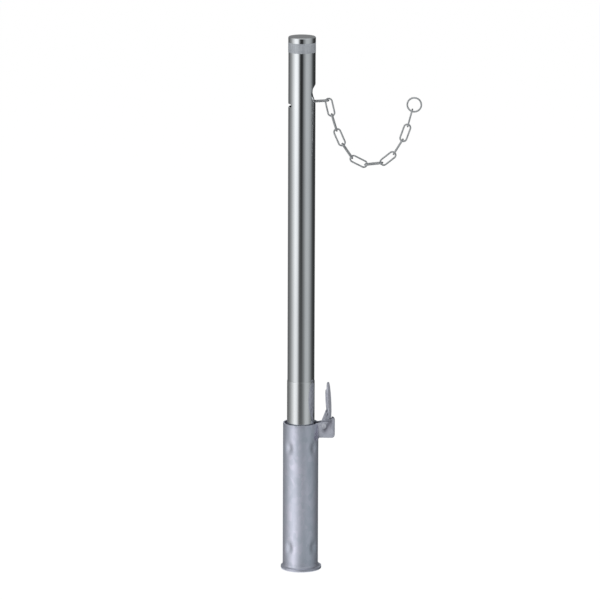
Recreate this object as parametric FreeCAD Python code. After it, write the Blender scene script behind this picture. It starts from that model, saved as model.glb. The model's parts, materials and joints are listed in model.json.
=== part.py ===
"""Removable chain bollard in its ground socket: a polished post, its built-in chain and a lidded socket."""
import FreeCAD, Part
import math
import os
from FreeCAD import Vector

# Socket: millimetres, the foot stands on z = 0 and the post's axis is Z
SOCKET_R = 31.75
SOCKET_WALL = 2.3
SOCKET_H = 268.0
FOOT_R = 36.5
FLARE_H = 10.0
FOOT_LIP_H = 2.0
BASE_T = 3.0
DRAIN_R = 5.0
DRAIN_CIRCLE_R = 17.0
DRAIN_COUNT = 4
WELD_GAP = 0.1

# Guide dents pressed into the socket wall
DENT_TOOL_R = 15.0
DENT_DEPTHS = (46.0, 225.0)
DENT_COUNT = 4
GUIDE_GAP = 0.4

# Post
POST_R = 24.3
POST_WALL = 1.5
POST_ABOVE_RIM = 700.0
WEAR_T = 0.5
WEAR_ABOVE_RIM = 79.0
SKIN_GAP = 0.05
CAP_SKIRT_H = 11.0
CAP_SKIRT_T = 0.55
CAP_TOP_T = 2.5
CAP_EDGE_R = 2.0
BAND_T = 0.3
BAND_H = 17.5
BOTTOM_CAP_T = 3.0
BOTTOM_DRAIN_R = 6.0

# Openings in the post's wall
OUTLET_BELOW_TOP = 98.9
OUTLET_R = 15.5
NOTCH_R = 9.5
NOTCH_DROP = 11.4
SLOT_BELOW_TOP = 122.3
SLOT_W = 33.5
SLOT_H = 5.8

# Guide lug on the post, in the slot of the rim
LUG_W = 10.0
LUG_H = 13.0
LUG_REACH = 33.5
LUG_FLOOR_GAP = 1.4

# Lock pocket
POCKET_REACH = 61.2
POCKET_W = 20.0
POCKET_T = 3.0
POCKET_DROP = 23.4
POCKET_BEND_R = 8.0
CHEEK_TOE_RISE = 0.8
CHEEK_RISE = 4.3
CHEEK_SLOPE_END = 45.0
STOP_RISE = 11.0
STOP_W = 8.6
STOP_RAMP_W = 2.8
POCKET_LOW_R = 3.5
STOP_CORNER_R = 5.0

# Hinge of the lid
PIN_X = 41.7
PIN_DROP = 3.1
PIN_R = 3.0
PIN_HEAD_R = 5.0
PIN_HEAD_H = 2.2
PIN_CHEEK_GAP = 0.05
PIN_ARM_GAP = 0.1
ARM_W = 10.0
WASHER_R = 5.6
WASHER_GAP = 0.1

# Lid
LID_R = 33.0
LID_T = 3.0
LID_OFFSET = 10.7
LID_PAST_AXIS = 3.5
LID_LEAN = 4.2
BOSS_R = 19.5
BOSS_T = 3.4
EYE_R = 7.0
ARM_TOE_H = 8.0
WEB_FOOT_H = 9.8
WEB_FOOT_OUT = 3.0
WEB_TOP_H = 32.0

# Chain: round wire, links of one length, each turned a quarter turn from the last
WIRE_D = 3.0
LINK_W = 14.6
LINK_PITCH = 28.2
LINK_GAP = 0.4
RING_OUTER_D = 27.8
CHAIN_SEAT_GAP = 0.3
FIRST_LINK_INSIDE = 8.0
STORED_LINKS = 25
STORED_FIRST_LEAN_DEG = 35.0
STORED_SIDES = 6
STORED_BOW_SIDES = 3
HALF_TURN_DEG = 180.0
STRAIGHT_DOWN_DEG = 90.0
STOP_BAR_R = 3.0
STOP_BAR_L = 38.0

# Directions of the links outside the post, in degrees below level, in hanging order; the last is the ring
LINK_FALLS = (-4.0, 76.9, 72.9, 66.4, 55.4, 26.3, -6.9, -39.0, -58.6, -70.5, -75.1, -68.6)

# Heights and radii that follow
RIM_Z = SOCKET_H
POST_TOP_Z = RIM_Z + POST_ABOVE_RIM
POST_FOOT_Z = BASE_T
TUBE_TOP_Z = POST_TOP_Z - CAP_TOP_T
WEAR_R = POST_R + SKIN_GAP + WEAR_T
OUTLET_Z = POST_TOP_Z - OUTLET_BELOW_TOP
NOTCH_Z = OUTLET_Z - NOTCH_DROP
SLOT_Z = POST_TOP_Z - SLOT_BELOW_TOP
CHEEK_INNER = POCKET_W / 2 - POCKET_T
FLOOR_TOP_Z = RIM_Z - POCKET_DROP + POCKET_T
PIN_Z = RIM_Z - PIN_DROP
LID_CENTRE_H = PIN_X + LID_PAST_AXIS
BOW_R = (LINK_W - WIRE_D) / 2
SEAT = WIRE_D + LINK_GAP
LINK_L = LINK_PITCH + SEAT
RING_R = (RING_OUTER_D - WIRE_D) / 2
UP = Vector(0, 0, 1)
Y_AXIS = Vector(0, 1, 0)


def tube(outer_r, inner_r, low_z, high_z):
    """A plain round tube on the Z axis."""
    length = high_z - low_z
    outer = Part.makeCylinder(outer_r, length, Vector(0, 0, low_z))
    return outer.cut(Part.makeCylinder(inner_r, length, Vector(0, 0, low_z)))


def box(low, high):
    """A box between two corners."""
    size = [b - a for a, b in zip(low, high)]
    return Part.makeBox(*size, Vector(*low))


def arc_to(centre_x, centre_z, radius, start_deg, end_deg):
    """An arc in the XZ plane between two angles, counted from +X towards +Z."""
    points = []
    for angle in (start_deg, (start_deg + end_deg) / 2, end_deg):
        a = math.radians(angle)
        points.append(Vector(centre_x + radius * math.cos(a), 0, centre_z + radius * math.sin(a)))
    return Part.Arc(*points).toShape()


def plate_xz(wire, low_y, high_y):
    """A plate cut to an outline in the XZ plane, from one Y to another."""
    face = Part.Face(wire)
    face.translate(Vector(0, low_y, 0))
    return face.extrude(Vector(0, high_y - low_y, 0))


def flare_radius():
    """The radius of the bell mouth's outer arc, from its reach and its height."""
    reach = FOOT_R - SOCKET_R
    height = FLARE_H - FOOT_LIP_H
    return (reach ** 2 + height ** 2) / (2 * reach)


def foot_seat_radius():
    """Where the bell mouth's inner arc meets the top of the base plate."""
    inner_arc = flare_radius() + SOCKET_WALL
    depth = FLARE_H - BASE_T
    return SOCKET_R + flare_radius() - math.sqrt(inner_arc ** 2 - depth ** 2)


def socket_shell():
    """The socket's wall as a turned profile: straight tube, bell mouth, lip and the base plate's seat."""
    arc_r = flare_radius()
    centre = SOCKET_R + arc_r
    outer_turn = math.degrees(math.asin((FLARE_H - FOOT_LIP_H) / arc_r))
    inner_turn = math.degrees(math.asin((FLARE_H - BASE_T) / (arc_r + SOCKET_WALL)))
    bore_r = SOCKET_R - SOCKET_WALL
    seat_r = foot_seat_radius()
    edges = [
        Part.makeLine(Vector(bore_r, 0, RIM_Z), Vector(SOCKET_R, 0, RIM_Z)),
        Part.makeLine(Vector(SOCKET_R, 0, RIM_Z), Vector(SOCKET_R, 0, FLARE_H)),
        arc_to(centre, FLARE_H, arc_r, 180, 180 + outer_turn),
        Part.makeLine(Vector(FOOT_R, 0, FOOT_LIP_H), Vector(FOOT_R, 0, 0)),
        Part.makeLine(Vector(FOOT_R, 0, 0), Vector(seat_r, 0, 0)),
        Part.makeLine(Vector(seat_r, 0, 0), Vector(seat_r, 0, BASE_T)),
        arc_to(centre, FLARE_H, arc_r + SOCKET_WALL, 180 + inner_turn, 180),
        Part.makeLine(Vector(bore_r, 0, FLARE_H), Vector(bore_r, 0, RIM_Z)),
    ]
    profile = Part.Face(Part.Wire(Part.__sortEdges__(edges)))
    return profile.revolve(Vector(0, 0, 0), UP, 360)


def dent_places():
    """Centres of the pressing balls: each dent's inside stands one guide gap off the post."""
    reach = WEAR_R + GUIDE_GAP + SOCKET_WALL + DENT_TOOL_R
    for depth in DENT_DEPTHS:
        for number in range(DENT_COUNT):
            angle = math.radians(360 / DENT_COUNT * (number + 0.5))
            yield Vector(reach * math.cos(angle), reach * math.sin(angle), RIM_Z - depth)


def socket_tube():
    """The galvanised socket with its dents and the slot in its rim."""
    shell = socket_shell()
    bore = Part.makeCylinder(SOCKET_R - SOCKET_WALL, RIM_Z - FLARE_H, Vector(0, 0, FLARE_H))
    body = Part.makeCylinder(SOCKET_R, RIM_Z, Vector(0, 0, 0))
    for centre in dent_places():
        pushed = Part.makeSphere(DENT_TOOL_R + SOCKET_WALL, centre)
        pushed = pushed.common(bore).fuse(pushed.common(body).cut(bore))
        shell = shell.fuse(pushed).cut(Part.makeSphere(DENT_TOOL_R, centre))
    slot = box((0, -CHEEK_INNER, FLOOR_TOP_Z), (SOCKET_R + POCKET_T, CHEEK_INNER, RIM_Z + POCKET_T))
    return shell.cut(slot).removeSplitter()


def base_plate():
    """The disc welded into the bell mouth, with drain holes off its centre."""
    plate = Part.makeCylinder(foot_seat_radius() - WELD_GAP, BASE_T)
    for number in range(DRAIN_COUNT):
        angle = math.radians(360 / DRAIN_COUNT * number)
        spot = Vector(DRAIN_CIRCLE_R * math.cos(angle), DRAIN_CIRCLE_R * math.sin(angle), 0)
        plate = plate.cut(Part.makeCylinder(DRAIN_R, BASE_T, spot))
    return plate


def cheek_outline():
    """The pocket's side view: a top edge that climbs from the rim to the raised stop, rounded corners."""
    low_z = RIM_Z - POCKET_DROP
    toe_z = RIM_Z + CHEEK_TOE_RISE
    top_z = RIM_Z + CHEEK_RISE
    stop_z = RIM_Z + STOP_RISE
    ramp_x = POCKET_REACH - STOP_W
    inside_x = SOCKET_R / 2
    shoulder_x = ramp_x + STOP_RAMP_W
    edges = [
        Part.makeLine(Vector(inside_x, 0, low_z), Vector(POCKET_REACH - POCKET_LOW_R, 0, low_z)),
        arc_to(POCKET_REACH - POCKET_LOW_R, low_z + POCKET_LOW_R, POCKET_LOW_R, 270, 360),
        Part.makeLine(
            Vector(POCKET_REACH, 0, low_z + POCKET_LOW_R), Vector(POCKET_REACH, 0, stop_z - STOP_CORNER_R)
        ),
        arc_to(POCKET_REACH - STOP_CORNER_R, stop_z - STOP_CORNER_R, STOP_CORNER_R, 0, 90),
        Part.makeLine(Vector(POCKET_REACH - STOP_CORNER_R, 0, stop_z), Vector(shoulder_x, 0, stop_z)),
        Part.makeLine(Vector(shoulder_x, 0, stop_z), Vector(ramp_x, 0, top_z)),
        Part.makeLine(Vector(ramp_x, 0, top_z), Vector(CHEEK_SLOPE_END, 0, top_z)),
        Part.makeLine(Vector(CHEEK_SLOPE_END, 0, top_z), Vector(SOCKET_R - SOCKET_WALL, 0, toe_z)),
        Part.makeLine(Vector(SOCKET_R - SOCKET_WALL, 0, toe_z), Vector(inside_x, 0, toe_z)),
        Part.makeLine(Vector(inside_x, 0, toe_z), Vector(inside_x, 0, low_z)),
    ]
    return Part.Wire(edges)


def bent_end_block(half_y, reach_x, corner_r, low_z, high_z):
    """A block from the axis out to reach_x whose two far upright edges are rounded."""
    block = box((0, -half_y, low_z), (reach_x, half_y, high_z))
    middle_z = (low_z + high_z) / 2
    upright = [e for e in block.Edges if abs(e.CenterOfMass.z - middle_z) < 1e-6]
    return block.makeFillet(corner_r, [e for e in upright if e.CenterOfMass.x > 0])


def lock_pocket():
    """One strip bent to a U: two cheeks welded to the socket and over its rim, and the end wall between."""
    under = RIM_Z - POCKET_DROP - POCKET_T
    over = RIM_Z + STOP_RISE + POCKET_T
    block = plate_xz(cheek_outline(), -POCKET_W / 2, POCKET_W / 2)
    block = block.common(bent_end_block(POCKET_W / 2, POCKET_REACH, POCKET_BEND_R, under, over))
    hollow = bent_end_block(CHEEK_INNER, POCKET_REACH - POCKET_T, POCKET_BEND_R - POCKET_T, under, over)
    below = Part.makeCylinder(SOCKET_R + WELD_GAP, RIM_Z)
    above = Part.makeCylinder(SOCKET_R - SOCKET_WALL, STOP_RISE + POCKET_T, Vector(0, 0, RIM_Z))
    pin_hole = Part.makeCylinder(PIN_R + PIN_CHEEK_GAP, POCKET_W, Vector(PIN_X, -POCKET_W / 2, PIN_Z), Y_AXIS)
    return block.cut(hollow).cut(below).cut(above).cut(pin_hole)


def pocket_floor():
    """The floor plate between the cheeks, against the socket and the end wall."""
    end_x = POCKET_REACH - POCKET_T - WELD_GAP
    corner_r = POCKET_BEND_R - POCKET_T - WELD_GAP
    plate = bent_end_block(CHEEK_INNER - WELD_GAP, end_x, corner_r, FLOOR_TOP_Z - POCKET_T, FLOOR_TOP_Z)
    return plate.cut(Part.makeCylinder(SOCKET_R + WELD_GAP, RIM_Z))


def rivet_head(side):
    """A domed rivet head against the outside of one cheek."""
    ball_r = (PIN_HEAD_R ** 2 + PIN_HEAD_H ** 2) / (2 * PIN_HEAD_H)
    face_y = POCKET_W / 2
    centre = Vector(PIN_X, side * (face_y + PIN_HEAD_H - ball_r), PIN_Z)
    outside = Part.makeCylinder(
        PIN_HEAD_R, PIN_HEAD_H, Vector(PIN_X, side * face_y, PIN_Z), Vector(0, side, 0)
    )
    return Part.makeSphere(ball_r, centre).common(outside)


def hinge_pin():
    """The riveted pin through both cheeks, with its two heads."""
    shank = Part.makeCylinder(PIN_R, POCKET_W, Vector(PIN_X, -POCKET_W / 2, PIN_Z), Y_AXIS)
    return shank.fuse(rivet_head(1)).fuse(rivet_head(-1)).removeSplitter()


def hinge_washers():
    """Two washers on the pin that keep the lid's arm in the middle."""
    washers = []
    for side in (-1, 1):
        near = ARM_W / 2 + WASHER_GAP
        thick = CHEEK_INNER - WASHER_GAP - near
        start = Vector(PIN_X, side * near, PIN_Z)
        outward = Vector(0, side, 0)
        disc = Part.makeCylinder(WASHER_R, thick, start, outward)
        washers.append(disc.cut(Part.makeCylinder(PIN_R + PIN_CHEEK_GAP, thick, start, outward)))
    return Part.makeCompound(washers)


def lean_lid(shape):
    """Places a piece of the lid, drawn upright with the hinge at the origin, at its resting lean."""
    shape.rotate(Vector(0, 0, 0), Y_AXIS, -LID_LEAN)
    shape.translate(Vector(PIN_X, 0, PIN_Z))
    return shape


def lid_plate():
    """The round plate that covers the socket when the post is out."""
    return lean_lid(Part.makeCylinder(LID_R, LID_T, Vector(LID_OFFSET, 0, LID_CENTRE_H), Vector(1, 0, 0)))


def lid_boss():
    """The smaller disc on the plate's inner face."""
    start = Vector(LID_OFFSET - BOSS_T, 0, LID_CENTRE_H)
    return lean_lid(Part.makeCylinder(BOSS_R, BOSS_T, start, Vector(1, 0, 0)))


def arm_outline():
    """The arm's side view: an eye round the pin, a toe under the plate, and a web that tapers out to the boss."""
    outer_x = LID_OFFSET + LID_T
    boss_face = LID_OFFSET - BOSS_T
    plate_low = LID_CENTRE_H - LID_R - WELD_GAP
    boss_low = LID_CENTRE_H - BOSS_R
    corners = [
        (EYE_R, 0),
        (outer_x, ARM_TOE_H),
        (outer_x, plate_low),
        (LID_OFFSET, plate_low),
        (LID_OFFSET, boss_low),
        (boss_face, boss_low),
        (boss_face, WEB_TOP_H),
        (-WEB_FOOT_OUT, WEB_FOOT_H),
        (-EYE_R, 0),
    ]
    points = [Vector(x, 0, z) for x, z in corners]
    edges = [arc_to(0, 0, EYE_R, 180, 360)]
    edges += [Part.makeLine(here, ahead) for here, ahead in zip(points, points[1:])]
    return Part.Wire(edges)


def lid_arm():
    """The arm that carries the lid on the pin."""
    web = plate_xz(arm_outline(), -ARM_W / 2, ARM_W / 2)
    bore = Part.makeCylinder(PIN_R + PIN_ARM_GAP, ARM_W, Vector(0, -ARM_W / 2, 0), Y_AXIS)
    return lean_lid(web.cut(bore))


def outlet_cut():
    """The cutter for the chain's outlet: a round hole that runs down into a narrower notch."""
    reach = POST_R + POCKET_T
    x_axis = Vector(1, 0, 0)
    hole = Part.makeCylinder(OUTLET_R, reach, Vector(0, 0, OUTLET_Z), x_axis)
    notch = Part.makeCylinder(NOTCH_R, reach, Vector(0, 0, NOTCH_Z), x_axis)
    neck = box((0, -NOTCH_R, NOTCH_Z), (reach, NOTCH_R, OUTLET_Z))
    return hole.fuse(notch).fuse(neck)


def slot_cut():
    """The cutter for the level slot that takes the next post's ring."""
    reach = POST_R + POCKET_T
    half = SLOT_W / 2 - SLOT_H / 2
    back = Vector(-1, 0, 0)
    cutter = box((-reach, -half, SLOT_Z - SLOT_H / 2), (0, half, SLOT_Z + SLOT_H / 2))
    for side in (-half, half):
        cutter = cutter.fuse(Part.makeCylinder(SLOT_H / 2, reach, Vector(0, side, SLOT_Z), back))
    return cutter


def post_tube():
    """The post's tube with the chain's outlet and the ring slot."""
    pipe = tube(POST_R, POST_R - POST_WALL, POST_FOOT_Z, TUBE_TOP_Z)
    return pipe.cut(outlet_cut()).cut(slot_cut()).removeSplitter()


def wear_sleeve():
    """The thin sleeve round the lower post, where it slides in the socket."""
    return tube(WEAR_R, POST_R + SKIN_GAP, POST_FOOT_Z, RIM_Z + WEAR_ABOVE_RIM)


def top_cap():
    """The cap over the tube's end, with a rounded edge and a short skirt."""
    outer_r = POST_R + CAP_SKIRT_T
    block = Part.makeCylinder(outer_r, CAP_SKIRT_H, Vector(0, 0, POST_TOP_Z - CAP_SKIRT_H))
    rim = [e for e in block.Edges if abs(e.CenterOfMass.z - POST_TOP_Z) < 1e-6]
    block = block.makeFillet(CAP_EDGE_R, rim)
    inside = Part.makeCylinder(POST_R + SKIN_GAP, CAP_SKIRT_H, Vector(0, 0, TUBE_TOP_Z - CAP_SKIRT_H))
    return block.cut(inside)


def reflective_band():
    """The silver band under the cap."""
    high_z = POST_TOP_Z - CAP_SKIRT_H
    return tube(POST_R + SKIN_GAP + BAND_T, POST_R + SKIN_GAP, high_z - BAND_H, high_z)


def bottom_cap():
    """The disc in the tube's lower end, with a drain hole."""
    return tube(POST_R - POST_WALL - WELD_GAP, BOTTOM_DRAIN_R, POST_FOOT_Z, POST_FOOT_Z + BOTTOM_CAP_T)


def guide_lug():
    """The lug that stands in the rim's slot, so that the post can't turn."""
    low_z = FLOOR_TOP_Z + LUG_FLOOR_GAP
    block = box((0, -LUG_W / 2, low_z), (LUG_REACH, LUG_W / 2, low_z + LUG_H))
    return block.cut(Part.makeCylinder(WEAR_R + WELD_GAP, RIM_Z))


def link_shape(flat):
    """A round-wire link along +X from the origin: two legs and two bows, upright or lying flat."""
    wire_r = WIRE_D / 2
    span = LINK_L - 2 * BOW_R
    solid = None
    for side in (-1, 1):
        leg = Part.makeCylinder(wire_r, span, Vector(BOW_R, 0, side * BOW_R), Vector(1, 0, 0))
        solid = leg if solid is None else solid.fuse(leg)
    for end_x, turn in ((BOW_R, -1), (LINK_L - BOW_R, 1)):
        ring = Part.Face(Part.Wire(Part.makeCircle(wire_r, Vector(end_x, 0, BOW_R), Vector(1, 0, 0))))
        solid = solid.fuse(ring.revolve(Vector(end_x, 0, 0), Vector(0, turn, 0), 180))
    solid = solid.removeSplitter()
    if flat:
        solid.rotate(Vector(0, 0, 0), Vector(1, 0, 0), 90)
    return solid


def faceted_link(flat):
    """A plain link of six-sided wire along +X, for the chain that is out of sight inside the post.

    Each bow has straight sides, and its end side stands as far out as the tip of a round bow.
    """
    centres = []
    turn = HALF_TURN_DEG / STORED_BOW_SIDES
    corner_r = BOW_R / math.cos(math.radians(turn / 2))
    for end_x, first in ((LINK_L - BOW_R, -HALF_TURN_DEG / 2), (BOW_R, HALF_TURN_DEG / 2)):
        for step in range(STORED_BOW_SIDES + 1):
            angle = math.radians(first + turn * step)
            reach = BOW_R if step in (0, STORED_BOW_SIDES) else corner_r
            centres.append(Vector(end_x + reach * math.cos(angle), 0, reach * math.sin(angle)))
    rings = []
    for number, here in enumerate(centres):
        ahead = (centres[(number + 1) % len(centres)] - here).normalize()
        behind = (here - centres[number - 1]).normalize()
        along = (ahead + behind).normalize()
        across = along.cross(Y_AXIS)
        stretch = 1 / along.dot(ahead)
        ring = []
        for side in range(STORED_SIDES):
            angle = math.radians(360 / STORED_SIDES * side)
            out = across * (math.cos(angle) * stretch) + Y_AXIS * math.sin(angle)
            ring.append(here + out * (WIRE_D / 2))
        rings.append(ring)
    faces = []
    for number, ring in enumerate(rings):
        following = rings[(number + 1) % len(rings)]
        for side in range(STORED_SIDES):
            other = (side + 1) % STORED_SIDES
            corners = [ring[side], ring[other], following[other], following[side], ring[side]]
            faces.append(Part.Face(Part.makePolygon(corners)))
    solid = Part.Solid(Part.makeShell(faces))
    if solid.Volume < 0:
        solid.reverse()
    if flat:
        solid.rotate(Vector(0, 0, 0), Vector(1, 0, 0), 90)
    return solid


def place_link(shape, start, fall):
    """Turns a link, drawn along +X, to its fall below level, and moves its first tip to start."""
    shape.rotate(Vector(0, 0, 0), Y_AXIS, fall)
    shape.translate(start)
    return shape


def heading(fall):
    """The unit direction that falls so many degrees below level, in the XZ plane."""
    a = math.radians(fall)
    return Vector(math.cos(a), 0, -math.sin(a))


def first_link_start():
    """The first link lies in the notch: its wires stand one seat gap off the notch's round bottom."""
    reach = NOTCH_R - WIRE_D / 2 - CHAIN_SEAT_GAP
    seat_z = NOTCH_Z - math.sqrt(reach ** 2 - BOW_R ** 2)
    wall = Vector(POST_R - POST_WALL / 2, 0, seat_z)
    return wall - heading(LINK_FALLS[0]) * FIRST_LINK_INSIDE


def chain_places():
    """Start tip, fall and pivot of each link outside the post; even links lie flat, odd ones stand."""
    places = [(first_link_start(), LINK_FALLS[0], None)]
    for number, fall in enumerate(LINK_FALLS[1:], 1):
        last_start, last_fall, _ = places[-1]
        last_end = last_start + heading(last_fall) * LINK_L
        if number % 2:
            pivot = last_end
            start = pivot - heading(fall) * SEAT
        else:
            pivot = last_end - heading(last_fall) * SEAT
            start = pivot
        places.append((start, fall, pivot))
    return places


def stored_chain_places():
    """Start tip and fall of each link inside the post, from the first link's inner tip downwards."""
    pivot = first_link_start()
    places = []
    for number in range(STORED_LINKS):
        fall = STRAIGHT_DOWN_DEG + (STORED_FIRST_LEAN_DEG if number == 0 else 0.0)
        if number % 2 == 0:
            places.append((pivot - heading(fall) * SEAT, fall))
            pivot = pivot + heading(fall) * (LINK_L - 2 * SEAT)
        else:
            places.append((pivot, fall))
            pivot = pivot + heading(fall) * LINK_L
    return places


def stored_chain():
    """The length of chain that hangs inside the post, ready to be pulled out."""
    links = []
    for number, (start, fall) in enumerate(stored_chain_places()):
        links.append(place_link(faceted_link(flat=bool(number % 2)), start, fall))
    return Part.makeCompound(links)


def stop_bar():
    """The cross bar in the last stored link, longer than the outlet is wide."""
    start, fall = stored_chain_places()[-1]
    rest = LINK_L - WIRE_D / 2 - STOP_BAR_R - CHAIN_SEAT_GAP
    centre = start + heading(fall) * rest
    return Part.makeCylinder(STOP_BAR_R, STOP_BAR_L, centre - Y_AXIS * (STOP_BAR_L / 2), Y_AXIS)


def end_ring(start, fall):
    """The ring on the chain's free end."""
    centre = start + heading(fall) * RING_R
    return Part.makeTorus(RING_R, WIRE_D / 2, centre, Y_AXIS)


def chain_nodes():
    """Each outside link and the end ring, by node name."""
    places = chain_places()
    nodes = {}
    for number, (start, fall, _) in enumerate(places[:-1]):
        flat = number % 2 == 0
        nodes[f"chain_link_{number:02d}"] = place_link(link_shape(flat), start, fall)
    ring_start, ring_fall, _ = places[-1]
    nodes["end_ring"] = end_ring(ring_start, ring_fall)
    return nodes


def report_pivots():
    """Prints the pivots of the chain and the hinge, in metres, for the record."""
    print("hinge", round(PIN_X / 1000, 6), round(PIN_Z / 1000, 6))
    for number, (_, fall, pivot) in enumerate(chain_places()):
        if pivot is not None:
            print("pivot", number, round(pivot.x / 1000, 6), round(pivot.z / 1000, 6), fall)
    start, fall, _ = chain_places()[-1]
    centre = start + heading(fall) * RING_R
    print("ring centre", round(centre.x / 1000, 6), round(centre.z / 1000, 6))


def build():
    """Every node of the bollard by name."""
    nodes = {
        "socket_tube": socket_tube(),
        "base_plate": base_plate(),
        "lock_pocket": lock_pocket(),
        "pocket_floor": pocket_floor(),
        "hinge_pin": hinge_pin(),
        "hinge_washers": hinge_washers(),
        "lid_plate": lid_plate(),
        "lid_boss": lid_boss(),
        "lid_arm": lid_arm(),
        "post_tube": post_tube(),
        "wear_sleeve": wear_sleeve(),
        "top_cap": top_cap(),
        "reflective_band": reflective_band(),
        "bottom_cap": bottom_cap(),
        "guide_lug": guide_lug(),
        "stored_chain": stored_chain(),
        "stop_bar": stop_bar(),
    }
    nodes.update(chain_nodes())
    return nodes


os.makedirs("parts", exist_ok=True)
for name, shape in build().items():
    shape.exportStep(f"parts/{name}.step")
    print(name, "valid" if shape.isValid() else "INVALID", len(shape.Solids), round(shape.Volume, 1))
report_pivots()
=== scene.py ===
"""The looks of a removable chain bollard: polished post, hanging chain, galvanised ground socket and lid.

Shapes are worked out in millimetres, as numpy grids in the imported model's frame, and made into meshes in metres.
"""

import json
import logging
import math
from dataclasses import dataclass, field
from enum import Enum
from typing import Optional, Sequence

import bmesh
import bpy
import numpy as np
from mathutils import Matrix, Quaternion, Vector


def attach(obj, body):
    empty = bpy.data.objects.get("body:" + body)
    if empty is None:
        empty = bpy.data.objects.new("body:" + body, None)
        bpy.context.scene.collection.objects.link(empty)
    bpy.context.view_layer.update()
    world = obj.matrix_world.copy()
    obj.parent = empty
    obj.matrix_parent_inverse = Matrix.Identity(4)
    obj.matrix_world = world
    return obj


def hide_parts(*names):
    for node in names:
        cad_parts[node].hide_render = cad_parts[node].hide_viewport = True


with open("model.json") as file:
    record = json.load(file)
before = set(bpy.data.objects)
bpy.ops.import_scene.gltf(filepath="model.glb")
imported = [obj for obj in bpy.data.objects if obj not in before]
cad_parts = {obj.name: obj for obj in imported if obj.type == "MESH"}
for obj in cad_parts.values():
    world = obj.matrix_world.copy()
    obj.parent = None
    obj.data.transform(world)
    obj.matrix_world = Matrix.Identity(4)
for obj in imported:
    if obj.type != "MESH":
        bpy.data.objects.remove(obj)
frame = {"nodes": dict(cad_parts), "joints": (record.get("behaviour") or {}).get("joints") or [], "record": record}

LOG = logging.getLogger("bollard")
MM = 0.001
FULL_TURN = 2 * math.pi
# name of the mesh attribute that marks the painted shade in the pocket's crease
PAINTED_CREASE_SHADE = "hollow"
GLOW = "glow"
NEVER_ZERO = 1e-9


class Body(Enum):
    """The moving bodies that a piece can ride on."""

    SOCKET = "socket"
    LID = "lid"
    POST = "post"
    RING = "ring"


class Slot(Enum):
    """The material slots of the record."""

    MIRROR = "mirror_stainless"
    SATIN = "satin_stainless"
    CHAIN = "chain_stainless"
    GALVANISED = "galvanised"
    RIVET = "rivet_steel"
    BAND = "silver_band"


class LinkStand(Enum):
    """How a link hangs: upright in the plane of the bow, or lying flat across it."""

    UPRIGHT = "upright"
    FLAT = "flat"


# ---- shapes on grids


@dataclass
class Skin:
    """A surface in millimetres: points, and the quads between them.

    Attributes:
        points: one row of x, y and z for each point.
        quads: one row of four point numbers for each face, counterclockwise from outside.
    """

    points: np.ndarray
    quads: np.ndarray

    @staticmethod
    def of_grid(points: np.ndarray, wrap_rows: bool = False, wrap_columns: bool = False,
                keep: Optional[np.ndarray] = None) -> "Skin":
        """A skin over a grid of points; each quad joins a point to the next in its row and in its column.

        Args:
            points: array of rows by columns by 3.
            wrap_rows: join the last row to the first.
            wrap_columns: join the last column to the first.
            keep: one truth value for each quad, false where the skin is left open.

        Returns:
            The skin.
        """
        rows, columns = points.shape[:2]
        r = np.arange(rows if wrap_rows else rows - 1)[:, None]
        c = np.arange(columns if wrap_columns else columns - 1)[None, :]
        r_next, c_next = (r + 1) % rows, (c + 1) % columns
        quads = np.stack([r * columns + c, r * columns + c_next, r_next * columns + c_next,
                          r_next * columns + c], axis=-1)
        quads = quads[keep] if keep is not None else quads.reshape(-1, 4)
        return Skin(points.reshape(-1, 3), quads)

    def joined(self, *others: "Skin") -> "Skin":
        """Joins skins.

        Args:
            others: skins in the same frame.

        Returns:
            This skin and the others as one.
        """
        points, quads, count = [self.points], [self.quads], len(self.points)
        for other in others:
            points.append(other.points)
            quads.append(other.quads + count)
            count += len(other.points)
        return Skin(np.concatenate(points), np.concatenate(quads))

    def moved(self, turn: np.ndarray, shift: Sequence[float] = (0, 0, 0)) -> "Skin":
        """Every point multiplied by a 3 by 3 turn, then shifted."""
        return Skin(self.points @ np.asarray(turn, float).T + np.asarray(shift, float), self.quads)


Z_TO_X = np.array([[0, 0, 1], [0, 1, 0], [-1, 0, 0]], float)
Z_TO_Y = np.array([[1, 0, 0], [0, 0, 1], [0, -1, 0]], float)
Y_TO_Z = np.array([[1, 0, 0], [0, 0, -1], [0, 1, 0]], float)
ALONG_Y = np.array([0.0, 1.0, 0.0])
ALONG_Z = np.array([0.0, 0.0, 1.0])
# straight pieces over a rounded edge
EDGE_STEPS = 4
# how many edge radii in from a plate's rim a row of points holds the shading of its flat face
PLATE_HOLD = 1.9


def polar(radius: np.ndarray, angle: np.ndarray) -> np.ndarray:
    """Points in plan, at radius cos angle and radius sin angle."""
    return np.stack([radius * np.cos(angle), radius * np.sin(angle)], axis=-1)


def raised(plan: np.ndarray, height: np.ndarray) -> np.ndarray:
    """Points in plan with their heights as a third number."""
    return np.concatenate([plan, np.broadcast_to(height, plan.shape[:-1])[..., None]], axis=-1)


def turn_about_y(degrees: float) -> np.ndarray:
    """The turn about Y that tips +Z towards +X by so many degrees."""
    c, s = math.cos(math.radians(degrees)), math.sin(math.radians(degrees))
    return np.array([[c, 0, s], [0, 1, 0], [-s, 0, c]])


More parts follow.
